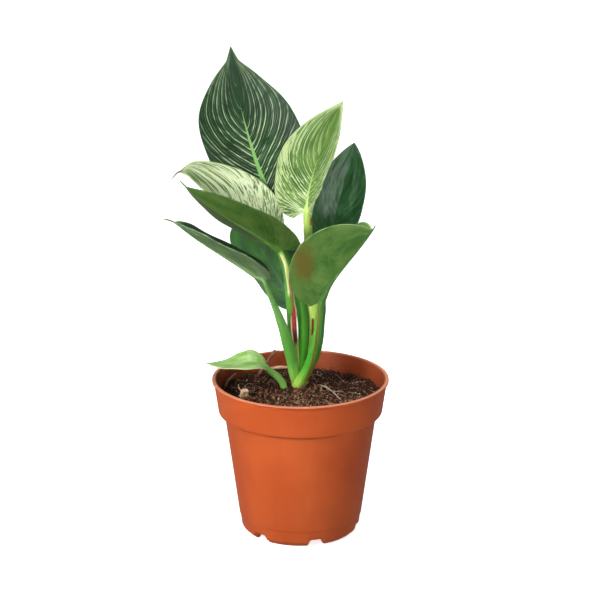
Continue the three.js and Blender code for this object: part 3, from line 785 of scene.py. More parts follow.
def makeBlade(leaf):
    length = midribLength(leaf)
    mesh = bmesh.new()
    uvLayer = mesh.loops.layers.uv.new("leafMap")
    layers = {name: mesh.verts.layers.float.new(name)
              for name in ("across", "margin", "along", "vein", "spread")}
    groupLayer = mesh.verts.layers.deform.verify()
    bmesh.ops.create_grid(mesh, x_segments=2 * blade["columns"], y_segments=blade["rows"], size=1)
    mesh.verts.index_update()
    places = [(math.copysign(abs(vert.co.x) ** blade["crowd"], vert.co.x), (vert.co.y + 1) / 2)
              for vert in mesh.verts]
    for face in mesh.faces:
        for loop in face.loops:
            u, v = places[loop.vert.index]
            loop[uvLayer].uv = (0.5 + 0.5 * u, v)
    for vert, (u, v) in zip(mesh.verts, places):
        width = relativeWidth(leaf, v) * leaf["halfWidth"]
        vert[layers["across"]] = width * abs(u)
        vert[layers["margin"]] = width * (1 - abs(u))
        vert[layers["along"]] = bladeAlong(leaf, u, v)
        vert[layers["vein"]] = veinStart(leaf, u, v) * length
        vert[groupLayer][0] = 1 - (1 - blade["edge"]) * abs(u) ** 2
        vert.co = bladePoint(leaf, u, v) * mm
    for vert in mesh.verts:
        slopes = [0, 0]  # across the blade and along it
        for edge in vert.link_edges:
            other = edge.other_vert(vert)
            lengthwise = int(places[other.index][1] != places[vert.index][1])
            rise = abs(other[layers["vein"]] - vert[layers["vein"]])
            slope = rise / max((other.co - vert.co).length / mm, 0.02)
            slopes[lengthwise] = max(slopes[lengthwise], slope)
        vert[layers["spread"]] = min(max(math.hypot(*slopes), 0.35), 8)
    mesh.normal_update()
    for vert, (u, v) in zip(mesh.verts, places):  # the margin waves a little
        wave = math.sin(math.tau * blade["waves"] * v + 3 * u + leaf["phase"])
        height = blade["marginWave"] * abs(u) ** 3 * wave
        vert.co += vert.normal * height * math.sin(math.pi * v) * mm
    bmesh.ops.remove_doubles(mesh, verts=mesh.verts, dist=2e-6)
    piece = finishPiece("blade" + leaf["title"], mesh,
                        [leafUpper(leaf), leafUnder(leaf), leafEdge(leaf)],
                        ["blade_" + leaf["title"].lower()])
    piece.vertex_groups.new(name="thickness")
    wall = addWall(piece, "bladeThickness", blade["thickness"])
    wall.vertex_group = "thickness"
    wall.material_offset = 1
    wall.material_offset_rim = 2
    return piece


stalk = {
    "sides": 24, "ridges": 0.035, "ridgeCount": 5, "steps": 7,
    "ribRows": 44, "ribEnd": 0.96, "ribTip": 0.22,  # the rib that runs on under the blade
    "ribSink": 0.8, "ribTaper": 2.5,  # how deep it is let in, and how fast it thins
}
usualMark = {"lean": 0, "strength": 1}  # what a mark on a stalk has where it says nothing


def streakedStrip(add, uvMap, stretch):
    # a strip's own map, its parts across and along, and fine lengthwise streaks
    uv = add("UVMap", {"uv_map": uvMap})
    parts = add("SeparateXYZ", {0: uv}).outputs
    stretched = add("Mapping", {"Scale": stretch, "Vector": uv})
    return parts["X"], parts["Y"], add("TexNoise", {"Scale": 1, "Detail": 3, "Vector": stretched})


def stalkMaterial(leaf):
    # smooth living stalk: bright satin green, fine lengthwise streaks, colours up its length
    look = leaf["stalkLook"]
    material, shader, add = newMaterial("leafStalk" + leaf["title"], 0.36, 1.42, 0.3)
    turn, height, streaks = streakedStrip(add, "tubeMap", (22, 4, 1))
    share = add("Math", {"operation": "MULTIPLY", 0: height, 1: 0.5})
    colour = add("ValToRGB", {"stops": look["along"], "Fac": share})
    amount = add("MapRange", {"From Min": 0.35, "From Max": 0.7, "To Max": 0.45, "Value": streaks})
    onStalk = add("MapRange", {"From Min": 0.55, "From Max": 0.48, "Value": share})
    kept = add("Math", {"operation": "MULTIPLY", 0: amount, 1: onStalk})
    colour = add("Mix", {"data_type": "RGBA", 0: kept, 6: colour, 7: look["streak"]})
    for mark in look.get("marks", ()):
        # a coloured line or spot: turn is where it lies round the stalk, 0.5 being the front, and
        # lean is how far it turns on the way up
        mark = {**usualMark, **mark}
        line = add("Math", {"operation": "MULTIPLY_ADD", 0: share, 1: mark["lean"],
                            2: mark["turn"] - mark["lean"] * mark["middle"]})
        fromLine = add("Math", {"operation": "SUBTRACT", 0: turn, 1: line})
        off = add("Math", {"operation": "ABSOLUTE", 0: fromLine})
        fromMiddle = add("Math", {"operation": "SUBTRACT", 0: share, 1: mark["middle"]})
        distance = add("Math", {"operation": "ABSOLUTE", 0: fromMiddle})
        narrow = add("MapRange", {"interpolation_type": "SMOOTHSTEP", "From Min": mark["width"],
                                  "From Max": 0.4 * mark["width"], "Value": off})
        held = add("MapRange", {"interpolation_type": "SMOOTHSTEP", "From Min": mark["reach"],
                                "From Max": 0.7 * mark["reach"], "To Max": mark["strength"],
                                "Value": distance})
        mask = add("Math", {"operation": "MULTIPLY", 0: narrow, 1: held})
        colour = add("Mix", {"data_type": "RGBA", 0: mask, 6: colour, 7: mark["colour"]})
    bump = add("Bump", {"Strength": 0.3, "Distance": 0.08 * mm, "Height": streaks})
    setNode(shader, {"Base Color": colour, "Normal": bump})
    return material


def stalkPath(leaf):
    # up the stalk, then on along the underside of the blade as its midrib; the heights run from
    # 0 to 1 up the stalk and on to 2 at the tip of the blade
    top = (*leaf["midrib"][0], leaf["stalk"][0][3] - 0.1)
    path = smoothPath([*reversed(leaf["stalk"]), top], stalk["steps"])
    lengths = runLengths(path)
    heights = [length / lengths[-1] for length in lengths]
    start, tip = path[-1].w, stalk["ribTip"]
    for i in range(1, stalk["ribRows"] + 1):
        along = stalk["ribEnd"] * i / stalk["ribRows"]
        point, upper = bladeFrame(leaf, along)[:2]
        radius = tip + (start - tip) * (1 - along) ** leaf.get("ribTaper", stalk["ribTaper"])
        sink = (leaf.get("ribSink", stalk["ribSink"]) * radius + 0.1) * min(1, along / 0.1)
        path.append(Vector((*(point - upper * sink), radius)))
        heights.append(1 + along)
    return path, heights


def makeStalk(leaf):
    mesh = bmesh.new()
    path, heights = stalkPath(leaf)
    growTube(mesh, path, stalk["sides"], heights, stalk["ridges"], stalk["ridgeCount"])
    return finishPiece("petiole" + leaf["title"], mesh, [stalkMaterial(leaf)],
                       ["petiole_" + leaf["title"].lower()])

# Each leaf: midrib is four curve points; face and roll turn the blade's upper side; right and left
# give each half its fold at the base and the tip, and its bend; shape is how fast the width rises
# and falls; stalk is its points and radii from the blade down. All in millimetres and radians.
tallLeaf = {
    "title": "Tall", "slot": "striped_leaf", "phase": 0.4,
    "midrib": [(-15.3, 32, 190.9), (-29.3, 34.5, 223.4), (-37.7, 37.4, 254.7), (-41, 40.8, 286)],
    "face": (0.1, -1, 0.25), "roll": (-0.65, -0.06),
    "right": (0.34, 0.18, -0.25), "left": (0.07, 0.16, -0.81),
    "halfWidth": 35.5, "shape": (0.54, 0.89), "lobe": 0.08, "drip": 0.0, "pinch": 0.075,
    "tip": (1.28, 1),
    "stalk": [(-13.9, 32, 181.3, 1.7), (-11.6, 32, 170.2, 1.8), (-8, 30.5, 156.9, 2),
              (-4.4, 28, 145.2, 2.1), (-1.4, 25, 134.8, 2.2), (0.4, 22, 123.2, 2.2),
              (1, 19, 111.6, 2.2), (1, 16, 100, 2.2), (0.4, 13, 89.6, 2.2)],
    "upper": {
        "deep": "0c2e12", "base": "163f1c", "lineColour": "c8e0b4",
        "lines": ((4.9, 0.42, 1, 1), (2.3, 0.24, 0.3, 4), (1.1, 0.2, 0.14, 3)), "outerLeft": 0.45,
        "midrib": "86be68", "midribWidth": 2.4, "midribEnd": 0.65,
        "margin": "42703c", "marginWidth": 0.4, "tipStart": 0.4, "tipEnd": 0.52, "specular": 0.3,
    },
    "under": {
        "deep": "3f6a3a", "base": "557f49", "lineColour": "8fae74", "lines": ((4.6, 0.5, 0.45, 1),),
        "midrib": "8fbf6a", "midribWidth": 2.2,
    },
    "stalkLook": {"along": [(0, "4c9a30"), (0.5, "3c9424"), (0.62, "66b048"), (1, "7cc45c")],
                  "streak": "2f7d1f"},
}

paleLeaf = {
    "title": "Pale", "slot": "streaked_leaf", "phase": 1.7,
    "midrib": [(4.1, -5.8, 198.2), (4.2, -0.8, 212.6), (11.3, -1.7, 235.2), (24.6, -1, 263.1)],
    "face": (-0.5, -1, 0.2), "roll": (-0.16, 0.16),
    "right": (0.63, 0.65, 0.5), "left": (0.29, 0.39, -0.89),
    "halfWidth": 27.4, "shape": (0.59, 0.95), "lobe": 0.08, "drip": 0.01,
    "stalk": [(4.4, -3, 186.4, 2.6), (5, 1, 173.1, 2.7), (5.6, 6, 156.3, 2.9),
              (6.8, 11, 139.3, 3.4), (7.2, 13.5, 126, 3.1), (6.7, 14.5, 116.3, 2.8),
              (4.8, 14.5, 106.8, 2.6), (3, 14, 97.5, 2.4), (1, 12, 88.7, 2.3)],
    "ribSink": 0.35, "ribTaper": 5,
    "upper": {
        "deep": "3f681e", "base": "628832", "streak": "bdd193", "streakShare": 0.24,
        # the right half gets fewer pale flecks: partly its own pattern, partly painted shade on
        # that half
        "streakLength": 6, "streakWidth": 1.5, "patchiness": 0.35, "rightBias": -0.05,
        "wash": 0.15, "washReach": 8,
        "lineColour": "d6e6b4", "lines": ((4.0, 0.42, 0.9, 2), (2.1, 0.28, 0.5, 6)),
        "midrib": "a9cf6e", "midribWidth": 1.5, "midribEnd": 0.7,
        "margin": "c3d79a", "marginWidth": 0.8, "tipEnd": 0.5, "tipLeft": 0.35,
        "specular": 0.3, "dryFrom": 0.975,
    },
    "under": {
        "deep": "86a765", "base": "a9c383", "lineColour": "c9dba6",
        "lines": ((4.8, 0.8, 0.6, 2), (1.7, 0.4, 0.3, 4)), "midrib": "b9d88a", "midribWidth": 2.6,
    },
    "stalkLook": {"along": [(0, "b8e058"), (0.2, "daf47c"), (0.42, "d4f080"), (0.5, "cdec80"),
                            (0.6, "bcd878"), (1, "a8c868")],
                  "streak": "b4dc62",
                  "marks": [{"turn": 0.51, "width": 0.05, "middle": 0.155, "reach": 0.03,
                             "colour": "8a3a1e"},
                            {"turn": 0.66, "width": 0.1, "middle": 0.475, "reach": 0.012,
                             "colour": "b05a28", "strength": 0.9}]},
}

creamLeaf = {
    "title": "Cream", "slot": "cream_leaf", "phase": 2.9,
    "midrib": [(-13.3, 18.3, 175.8), (-33.9, 19.6, 185.1), (-54.3, 16.3, 203.1),
               (-74.7, 8.8, 225.2)],
    "face": (-0.1, -0.6, 0.8), "roll": (-0.02, 0.36),
    "right": (0.83, 0.49, -0.33), "left": (0.68, 0.53, 0.32),
    "halfWidth": 24.3, "shape": (0.57, 0.65), "lobe": 0.01, "drip": 0.07,
    "hook": -11, "hookStart": 0.86, "tip": (0.12, 0.45),
    "stalk": [(-8.5, 15, 164, 2), (-4.4, 11.5, 151.5, 2.6), (-0.2, 9.5, 139.7, 3.1),
              (1.5, 9.5, 130.4, 3.3), (2, 9, 118.1, 3.3), (1.5, 9, 108.7, 3.1),
              (0.9, 9.5, 99.1, 2.8), (0.1, 10, 89.4, 2.6)],
    "upper": {
        "deep": "46702c", "base": "74984a", "streak": "dde7bf", "streakShare": 0.48,
        "streakLength": 3.6, "streakWidth": 1.2, "patchiness": 0.28, "wash": 0.03, "washReach": 4,
        "lineColour": "dce8c0", "lines": ((3.4, 0.35, 0.7, 5), (1.9, 0.25, 0.4, 8)),
        "midrib": "c6da98", "midribWidth": 1.4, "midribEnd": 0.85,
        "margin": "bdd094", "marginWidth": 0.6, "tipStart": 0.35, "tipEnd": 0.6, "tipLeft": 0.85,
        "specular": 0.3, "dryFrom": 0.9,
    },
    "under": {
        "deep": "a9c086", "base": "c4d5a4", "lineColour": "d9e6c0",
        "lines": ((4.2, 0.7, 0.5, 5), (1.5, 0.35, 0.3, 2)), "midrib": "c9dd9e", "midribWidth": 2.0,
    },
    "stalkLook": {"along": [(0, "4a9a24"), (0.35, "4c9c28"), (0.5, "5aa636"), (0.7, "9cc76a"),
                            (1, "c9dd9e")],
                  "streak": "3a861c",
                  # the dark mark down the stalk's right side is painted shade
                  "marks": [{"turn": 0.7, "width": 0.2, "middle": 0.2, "reach": 0.4,
                             "colour": "2c6c18", "strength": 0.6}]},
}

leftLeaf = {
    "title": "Left", "slot": "leaf_underside", "phase": 4.1,
    "midrib": [(-12.3, -6.4, 175.4), (-22.2, -11.8, 187.1), (-49.3, -15.8, 197.1),
               (-68.8, -18.9, 220.1)],
    "face": (-0.1, 1, 0.5), "roll": (-0.59, -0.46),
    "right": (0.36, 0.4, -0.21), "left": (0.21, 0.3, -0.27),
    "halfWidth": 25.4, "shape": (0.6, 0.96), "lobe": 0.07, "drip": 0.05,
    "stalk": [(-9.3, -5.5, 167.7, 2.2), (-8, -4, 161.1, 2.3), (-7.1, -1.5, 152.4, 2.2),
              (-6.4, 1.5, 142.3, 2.2), (-5.9, 4.5, 132, 2.2), (-5.3, 7.5, 121.7, 2.2),
              (-4.4, 9.5, 111, 2.3), (-2.9, 10.5, 100.6, 2.4), (-1.4, 10.5, 90.5, 2.5)],
    "ribTaper": 2.6,
    "upper": {
        "deep": "17401d", "base": "235227", "lineColour": "8fb27a",
        "lines": ((5.2, 0.45, 0.7, 4), (2.1, 0.3, 0.25, 6)),
        "midrib": "79b45a", "midribWidth": 1.5, "midribEnd": 0.7,
        "margin": "5c8a45", "marginWidth": 0.4, "tipStart": 0.75,
    },
    "under": {
        "deep": "345a1e", "base": "5c7a38", "lineColour": "748f52",
        "lines": ((6.5, 0.45, 0.25, 4), (2.8, 0.3, 0.12, 6)),
        "midrib": "63893a", "midribWidth": 1.6, "midribStrength": 0.6,
    },
    "stalkLook": {"along": [(0, "5cae3c"), (0.4, "6cb84a"), (0.5, "5a9636"), (0.56, "547c30"),
                            (1, "547c30")],
                  "streak": "4a9830",
                  # the cream mark is the stalk's pale wing: partly its own colour, partly a painted
                  # highlight
                  "marks": [{"turn": 0.53, "width": 0.12, "middle": 0.41, "reach": 0.095,
                             "colour": "fbffb4"},
                            {"turn": 0.57, "width": 0.045, "middle": 0.33, "reach": 0.07,
                             "colour": "c8823c", "strength": 0.8}]},
}

lowLeaf = {
    "title": "Low", "slot": "leaf_underside", "phase": 5.2,
    "midrib": [(-21.2, -9.6, 157.6), (-40.4, -11.2, 172.9), (-62.5, -18, 183.2),
               (-77.9, -25.3, 204.1)],
    "face": (0, 0, 1), "roll": (-0.06, -0.06),
    "right": (0.82, 0.62, -1.16), "left": (0.8, 0.45, -0.35),
    "halfWidth": 20.1, "shape": (0.56, 0.91), "lobe": 0.01, "drip": 0.11,
    "hook": -5, "hookStart": 0.82,
    "stalk": [(-18.9, -6.5, 150.9, 1.5), (-16.6, -5, 144.3, 1.6), (-13.8, -3, 136.9, 2.1),
              (-11.6, -1.5, 130.2, 2.6), (-9.5, 0, 123.5, 3), (-7.8, 1.5, 116.8, 3.4),
              (-6.4, 3, 110.1, 3.3), (-5.1, 5, 103.1, 3.1), (-4.2, 7, 96.1, 3),
              (-2.9, 9, 89.7, 2.8)],
    "ribTaper": 2.0,
    "upper": {
        "deep": "2a4230", "base": "3f5c44", "lineColour": "6f8f68", "lines": ((4.5, 0.4, 0.5, 3),),
        "midrib": "6fa55a", "midribWidth": 1.2, "midribEnd": 0.6, "margin": "86a86c",
        "tipStart": 0.7,
    },
    "under": {
        "deep": "46643a", "base": "6c8c58", "lineColour": "9ab58a",
        "lines": ((3.4, 0.6, 0.25, 3), (1.4, 0.3, 0.12, 7)), "midrib": "7fa460", "midribWidth": 1.5,
    },
    "stalkLook": {"along": [(0, "a5cc62"), (0.06, "8fce5a"), (0.11, "62aa44"), (0.25, "68a84a"),
                            (0.46, "7fb262"), (0.54, "7c9c62"), (1, "7c9c62")],
                  "streak": "4a9436"},
}

behindLeaf = {
    "title": "Behind", "slot": "striped_leaf", "phase": 0.9,
    "midrib": [(-5.8, 19.2, 138.7), (-17, 24, 155.3), (-26.8, 27.9, 171.1), (-34.5, 30.4, 186.1)],
    "face": (-0.1, -1, 0.3), "roll": (-0.05, 0.01),
    "right": (0.1, 0.1, -0.2), "left": (-0.09, 0.33, -1.63),
    "halfWidth": 22.1, "shape": (0.6, 0.58), "lobe": 0.09, "drip": 0.01,
    "stalk": [(-5.6, 19.5, 130.3, 1.6), (-5, 19.5, 120.9, 1.8), (-4.1, 18, 110.7, 1.9),
              (-2.9, 16, 101.3, 2), (-1.4, 13, 90.9, 2)],
    "upper": {
        "deep": "335a34", "base": "40762e", "lineColour": "6f9a6a", "lines": ((5.0, 0.6, 0.2, 4),),
        "midrib": "477a48", "midribWidth": 1.0, "midribEnd": 0.7, "margin": "5a8a50",
        "gloss": 0.28, "pucker": 1, "puckerDepth": 4, "puckerScale": (3.4, 2.2, 1),
    },
    "under": {
        "deep": "45693e", "base": "587c4c", "lineColour": "7d9a6c", "lines": ((5.0, 0.5, 0.35, 4),),
        "midrib": "7fae5c", "midribWidth": 1.8,
    },
    "stalkLook": {"along": [(0, "3c8a28"), (0.6, "3c9424"), (1, "5f9a50")], "streak": "2d761e"},
}

rightLeaf = {
    "title": "Right", "slot": "striped_leaf", "phase": 3.3,
    "midrib": [(16, 20.6, 170.4), (21.9, 24.7, 193.3), (28.2, 29.6, 212.8), (32, 34.7, 229.8)],
    "face": (0.1, -1, 0.3), "roll": (-0.3, -0.1),
    "right": (0.47, 0.3, -0.02), "left": (0.28, 0.3, -0.23),
    "halfWidth": 16.7, "shape": (0.57, 0.88), "lobe": 0.05, "drip": 0.01,
    "stalk": [(14.6, 17, 152.9, 1.9), (13.1, 13.5, 138.5, 2.1), (13, 12.3, 132.6, 2.2),
              (12.4, 11, 126.8, 2.2), (11.8, 9.5, 117.9, 2.2), (10.8, 9, 111.2, 2.2),
              (9.3, 9, 105.5, 2.2), (6.3, 9.3, 98.5, 2.2), (2.1, 10, 89.4, 2.2)],
    "upper": {
        "deep": "2a5a30", "base": "3f7446", "lineColour": "6f9a72", "lines": ((5.5, 1.0, 0.3, 6),),
        "midrib": "477a4c", "midribWidth": 0.8, "midribEnd": 0.8,
        "margin": "4f7a54", "marginWidth": 0.4,
        "gloss": 0.32, "pucker": 1, "puckerDepth": 4.5, "puckerScale": (3.2, 2.4, 1),
    },
    "under": {
        "deep": "3a6238", "base": "4c7545", "lineColour": "73966a", "lines": ((5.5, 0.5, 0.35, 6),),
        "midrib": "7aa85c", "midribWidth": 1.6,
    },
    "stalkLook": {"along": [(0, "3f8f2a"), (0.35, "2f7a24"), (0.6, "2c5f26"), (1, "3f7a48")],
                  "streak": "245a1c"},
}

foldedLeaf = {
    "title": "Folded", "slot": "leaf_underside", "phase": 2.2,
    "midrib": [(12.2, -7, 143.6), (14.6, -11.9, 159.7), (30.9, -19.7, 172.5), (43, -24.9, 195.3)],
    "face": (-0.6, 0.3, 0.7), "roll": (-0.1, -0.21),
    "right": (0.93, 0.97, -0.19), "left": (0.9, 0.91, -0.29),
    "halfWidth": 29.1, "shape": (0.69, 0.52), "lobe": 0.08, "drip": 0.04,
    "stalk": [(10.9, -3, 131.3, 2), (9.6, -1, 121.4, 2.3), (7.8, 1, 111.4, 2.7),
              (5.3, 3, 101.3, 3), (0.9, 5.2, 91.6, 3.3), (-2.2, 7.4, 85.7, 3.3)],
    "ribTaper": 2.2,
    "upper": {
        "deep": "4f7d3c", "base": "6f9c50", "lineColour": "a5c48c", "lines": ((4.8, 0.5, 0.5, 2),),
        "midrib": "8fbf6a", "midribWidth": 1.6, "midribEnd": 0.8, "margin": "c9dba6",
    },
    "under": {
        "deep": "3d6428", "base": "648841", "lineColour": "749558",
        "lines": ((6.5, 0.9, 0.1, 2), (2.4, 0.4, 0.08, 5)),
        "midrib": "4c7436", "midribWidth": 1.6, "midribStrength": 0.6,
        "patch": {"place": (0.86, 0.43), "size": (0.16, 0.21), "turn": -0.57, "strength": 0.9,
                  "colour": "6e6226"},
    },
    "stalkLook": {"along": [(0, "b4d45c"), (0.045, "b0d45a"), (0.08, "7cbc48"), (0.14, "49a22f"),
                            (0.42, "62a844"), (0.52, "4c7838"), (1, "426634")],
                  "streak": "3d9228",
                  "marks": [{"turn": 0.565, "width": 0.06, "middle": 0.26, "reach": 0.25,
                             "lean": -0.42, "colour": "75862c", "strength": 0.85},
                            {"turn": 0.5, "width": 0.035, "middle": 0.27, "reach": 0.25,
                             "lean": -0.42, "colour": "7d4420", "strength": 0.9}]},
}

smallLeaf = {
    "title": "Small", "slot": "young_leaf", "stalkSlot": "young_leaf", "phase": 1.1,
    "midrib": [(-21, 2.8, 100.7), (-29.3, -3.3, 108.9), (-40.7, -2.1, 100.2), (-56.5, 5.4, 101.8)],
    "face": (0, -0.6, 0.8), "roll": (0.21, 0.51),
    "right": (0.31, 0.07, -0.28), "left": (0.38, 0.24, -0.07),
    "halfWidth": 10.8, "shape": (0.59, 0.89), "lobe": 0, "drip": 0.02,
    "stalk": [(-18.1, 4, 97.2, 1.8), (-13.9, 5, 93.7, 2.1), (-10.6, 6, 88.9, 2.1),
              (-9.5, 6.6, 84, 2), (-9.2, 6.8, 79, 1.6)],
    "upper": {
        "deep": "8abf52", "base": "bfe096", "lineColour": "cfe8b0", "lines": ((3.2, 0.5, 0.25, 3),),
        "midrib": "9ccb6c", "midribWidth": 1.0, "midribEnd": 0.7, "margin": "c6e2a4",
        "gloss": 0.46, "tipLeft": 0.8,
    },
    "under": {
        "deep": "7fae50", "base": "96c168", "lineColour": "a9cf80", "lines": ((3.2, 0.5, 0.3, 3),),
        "midrib": "8fbf60", "midribWidth": 1.2,
    },
    "stalkLook": {"along": [(0, "6f9a4a"), (0.12, "86bf58"), (0.3, "8fc860"), (1, "9ccb6c")],
                  "streak": "7db450"},
}

for leaf in (tallLeaf, paleLeaf, creamLeaf, leftLeaf, lowLeaf, behindLeaf, rightLeaf, foldedLeaf,
             smallLeaf):
    makeBlade(leaf)
    makeStalk(leaf)
    print("leaf made:", leaf["title"])

stem = {
    "place": soil["stem"], "radius": 5, "foot": 74, "top": 94.5, "rows": 12, "rowHeight": 1.1,
    "swell": 0.04, "sides": 40, "base": "a8b860", "scar": "8a7a48",
}


def stemMaterial():
    # young stem: pale green skin with brown rings where old stalks left
    material, shader, add = newMaterial("stemSkin", 0.5, 1.4, 0.1)
    coords = add("TexCoord", {}).outputs["Object"]
    flat = add("Mapping", {"Scale": (0.2, 0.2, 1), "Vector": coords})
    rings = add("TexNoise", {"Scale": 420, "Detail": 3, "Vector": flat})
    colour = add("ValToRGB", {"stops": [(0.4, stem["scar"]), (0.6, stem["base"])], "Fac": rings})
    bump = add("Bump", {"Strength": 0.4, "Distance": 0.2 * mm, "Height": rings})
    setNode(shader, {"Base Color": colour, "Normal": bump})
    return material


def makeStem():
    (x, y), radius, foot, top = stem["place"], stem["radius"], stem["foot"], stem["top"]
    path = [(x, y, foot, radius * 0.8), (x, y, foot + 3, radius)]
    for i in range(stem["rows"]):
        swell = radius * (1 + stem["swell"] * math.cos(i * 2.1))
        path.append((x, y, foot + 4 + i * stem["rowHeight"], swell))
    path += [(x, y, top - 2.2, radius * 0.93), (x, y, top - 0.9, radius * 0.7),
             (x, y, top - 0.1, radius * 0.35)]
    mesh = bmesh.new()
    growTube(mesh, smoothPath(path, 2), stem["sides"], None, 0.02, 3)
    return finishPiece("stemStub", mesh, [stemMaterial()], ["stem"])


sheath = {
    "path": [(-4.5, 0.8, 152.2, 0.5), (-4.4, 2.4, 142.5, 1), (-4.2, 3.3, 135.5, 1.3),
             (-4.1, 3.5, 129.2, 1.3), (-3.9, 3.7, 123, 1.3), (-3.2, 4.6, 116, 1.2),
             (-2.6, 6.5, 109, 1), (-1.6, 9.5, 92.5, 0.9)],
    "columns": 14, "steps": 8, "widen": 1.4, "open": 1.5, "flat": 0.8, "twist": 0.35,
    "pointFrom": 0.7, "point": 0.85, "thickness": 0.3,
    "red": "b5312a", "dark": "56120c", "edge": "f4e0ae", "orange": "e08a3e", "green": "86a850",
}


def sheathMaterial():
    # dry bract, thin and papery: red, dark in its folds, with a straw-coloured edge
    material, shader, add = newMaterial("dryBract", 0.45, 1.4, 0.2)
    across, height, streaks = streakedStrip(add, "bractMap", (16, 3, 1))
    colour = add("ValToRGB", {"stops": [
        (0.2, sheath["green"]), (0.3, sheath["dark"]), (0.38, sheath["dark"]), (0.5, sheath["red"]),
        (0.78, sheath["red"]), (0.9, sheath["orange"]), (1.0, sheath["edge"])], "Fac": height})
    shade = add("MapRange", {"From Min": 0.4, "From Max": 0.7, "To Max": 0.6, "Value": streaks})
    colour = add("Mix", {"data_type": "RGBA", 0: shade, 6: colour, 7: sheath["dark"]})
    fromMiddle = add("Math", {"operation": "SUBTRACT", 0: across, 1: 0.47})
    off = add("Math", {"operation": "ABSOLUTE", 0: fromMiddle})
    rim = add("MapRange", {"From Min": 0.2, "From Max": 0.27, "Value": off})
    colour = add("Mix", {"data_type": "RGBA", 0: rim, 6: colour, 7: sheath["edge"]})
    bump = add("Bump", {"Strength": 0.5, "Distance": 0.15 * mm, "Height": streaks})
    setNode(shader, {"Base Color": colour, "Normal": bump})
    return material


def makeSheath():
    # a strip curled round its path, pointed at the top
    path = smoothPath(sheath["path"][::-1], sheath["steps"])
    rows = len(path) - 1
    mesh = bmesh.new()
    uvLayer = mesh.loops.layers.uv.new("bractMap")
    bmesh.ops.create_grid(mesh, x_segments=sheath["columns"], y_segments=rows, size=1)
    for face in mesh.faces:
        for loop in face.loops:
            loop[uvLayer].uv = ((loop.vert.co.x + 1) / 2, (loop.vert.co.y + 1) / 2)
    for vert in mesh.verts:
        row = round((vert.co.y + 1) / 2 * rows)
        share = row / rows
        direction = path[min(row + 1, rows)].xyz - path[max(row - 1, 0)].xyz
        front, side = squareTo(direction.normalized(), (0, -1, 0))
        turn = vert.co.x * sheath["open"] + sheath["twist"] * math.sin(4 * share)
        past = max(share - sheath["pointFrom"], 0) / (1 - sheath["pointFrom"])
        reach = path[row].w * sheath["widen"] * (1 - sheath["point"] * past)
        offset = front * math.cos(turn) * reach * sheath["flat"] + side * math.sin(turn) * reach
        vert.co = (path[row].xyz + offset) * mm
    piece = finishPiece("sheathBract", mesh, [sheathMaterial()], ["sheath"])
    addWall(piece, "bractThickness", sheath["thickness"])
    return piece


makeStem()
makeSheath()
print("stem and sheath made")

litter = [  # loose pieces that stand out of the soil
    {"title": "twigBroken", "node": "twig", "slot": "twig", "dark": "6a4234", "light": "9c6c5a",
     "path": [(-27, 36, 81, 1), (-20.6, 40, 90, 0.9), (-15.4, 43.6, 97, 0.8)],
     "branches": [[(-17.6, 42, 94, 0.6), (-14.8, 41.6, 96.5, 0.5), (-13.2, 41.2, 97.4, 0.4)]]},
    {"title": "stickGrey", "node": "stick", "slot": "twig", "dark": "64422f", "light": "946a52",
     "path": [(-45.3, 9, 80.5, 0.9), (-44.2, 15, 86.2, 1), (-39, 24.8, 88.2, 0.8)],
     "branches": []},
    {"title": "strawFlat", "node": "straw", "slot": "straw", "dark": "c89a72", "light": "f0c8a4",
     "path": [(-19.4, 43.2, 84.8, 0.9), (-13.5, 44.8, 85.3, 1.1), (-8, 45.8, 85, 0.8)],
     "branches": []},
    {"title": "rootPale", "node": "root", "slot": "straw", "dark": "94806a", "light": "d2c3ae",
     "path": [(10.5, 14.5, 84.8, 0.45), (14.6, 7.2, 86.2, 0.45), (19.3, -0.4, 85.5, 0.4),
              (24, -11.2, 84.4, 0.35)],
     "branches": [[(19.3, -0.4, 85.5, 0.3), (22.4, -1.2, 86.2, 0.25), (25.6, 0.6, 85.4, 0.2)],
                  [(14.6, 7.2, 86.2, 0.3), (12.4, 4.4, 86.8, 0.25), (12.9, 1.2, 86, 0.2)]]},
]
chip = {
    "place": (-33.2, -6, 86.2), "size": (6.6, 3.6, 7), "lean": 0.35, "turn": 0.3, "cuts": 9,
    "core": (0.82, 0.75, 0.82),  # share of the size before the torn edges are added
    "taper": 0.35, "dent": 0.8, "rough": 0.55, "seeds": ((3, 1, 2), (9, 4, 7), (5, 8, 6)),
    "splinter": [(-35, -6, 88, 0.3), (-36.4, -6.2, 90.2, 0.25), (-36.8, -6.4, 92.2, 0.15)],
    "dark": "eabb86", "light": "ffe4bc", "sharp": 45,
}


def makeLitter(item):
    mesh = bmesh.new()
    growTube(mesh, smoothPath(item["path"], 8), 12, None, 0.1, 3)
    for branch in item["branches"]:
        growTube(mesh, smoothPath(branch, 5), 8, None, 0.08, 2)
    for vert in mesh.verts:
        vert.co += vert.normal * noise.noise(vert.co * 700) * 0.12 * mm
    return finishPiece(item["title"], mesh, [dryMaterial(item["title"] + "Bark", item, 0.8)],
                       [item["node"]])


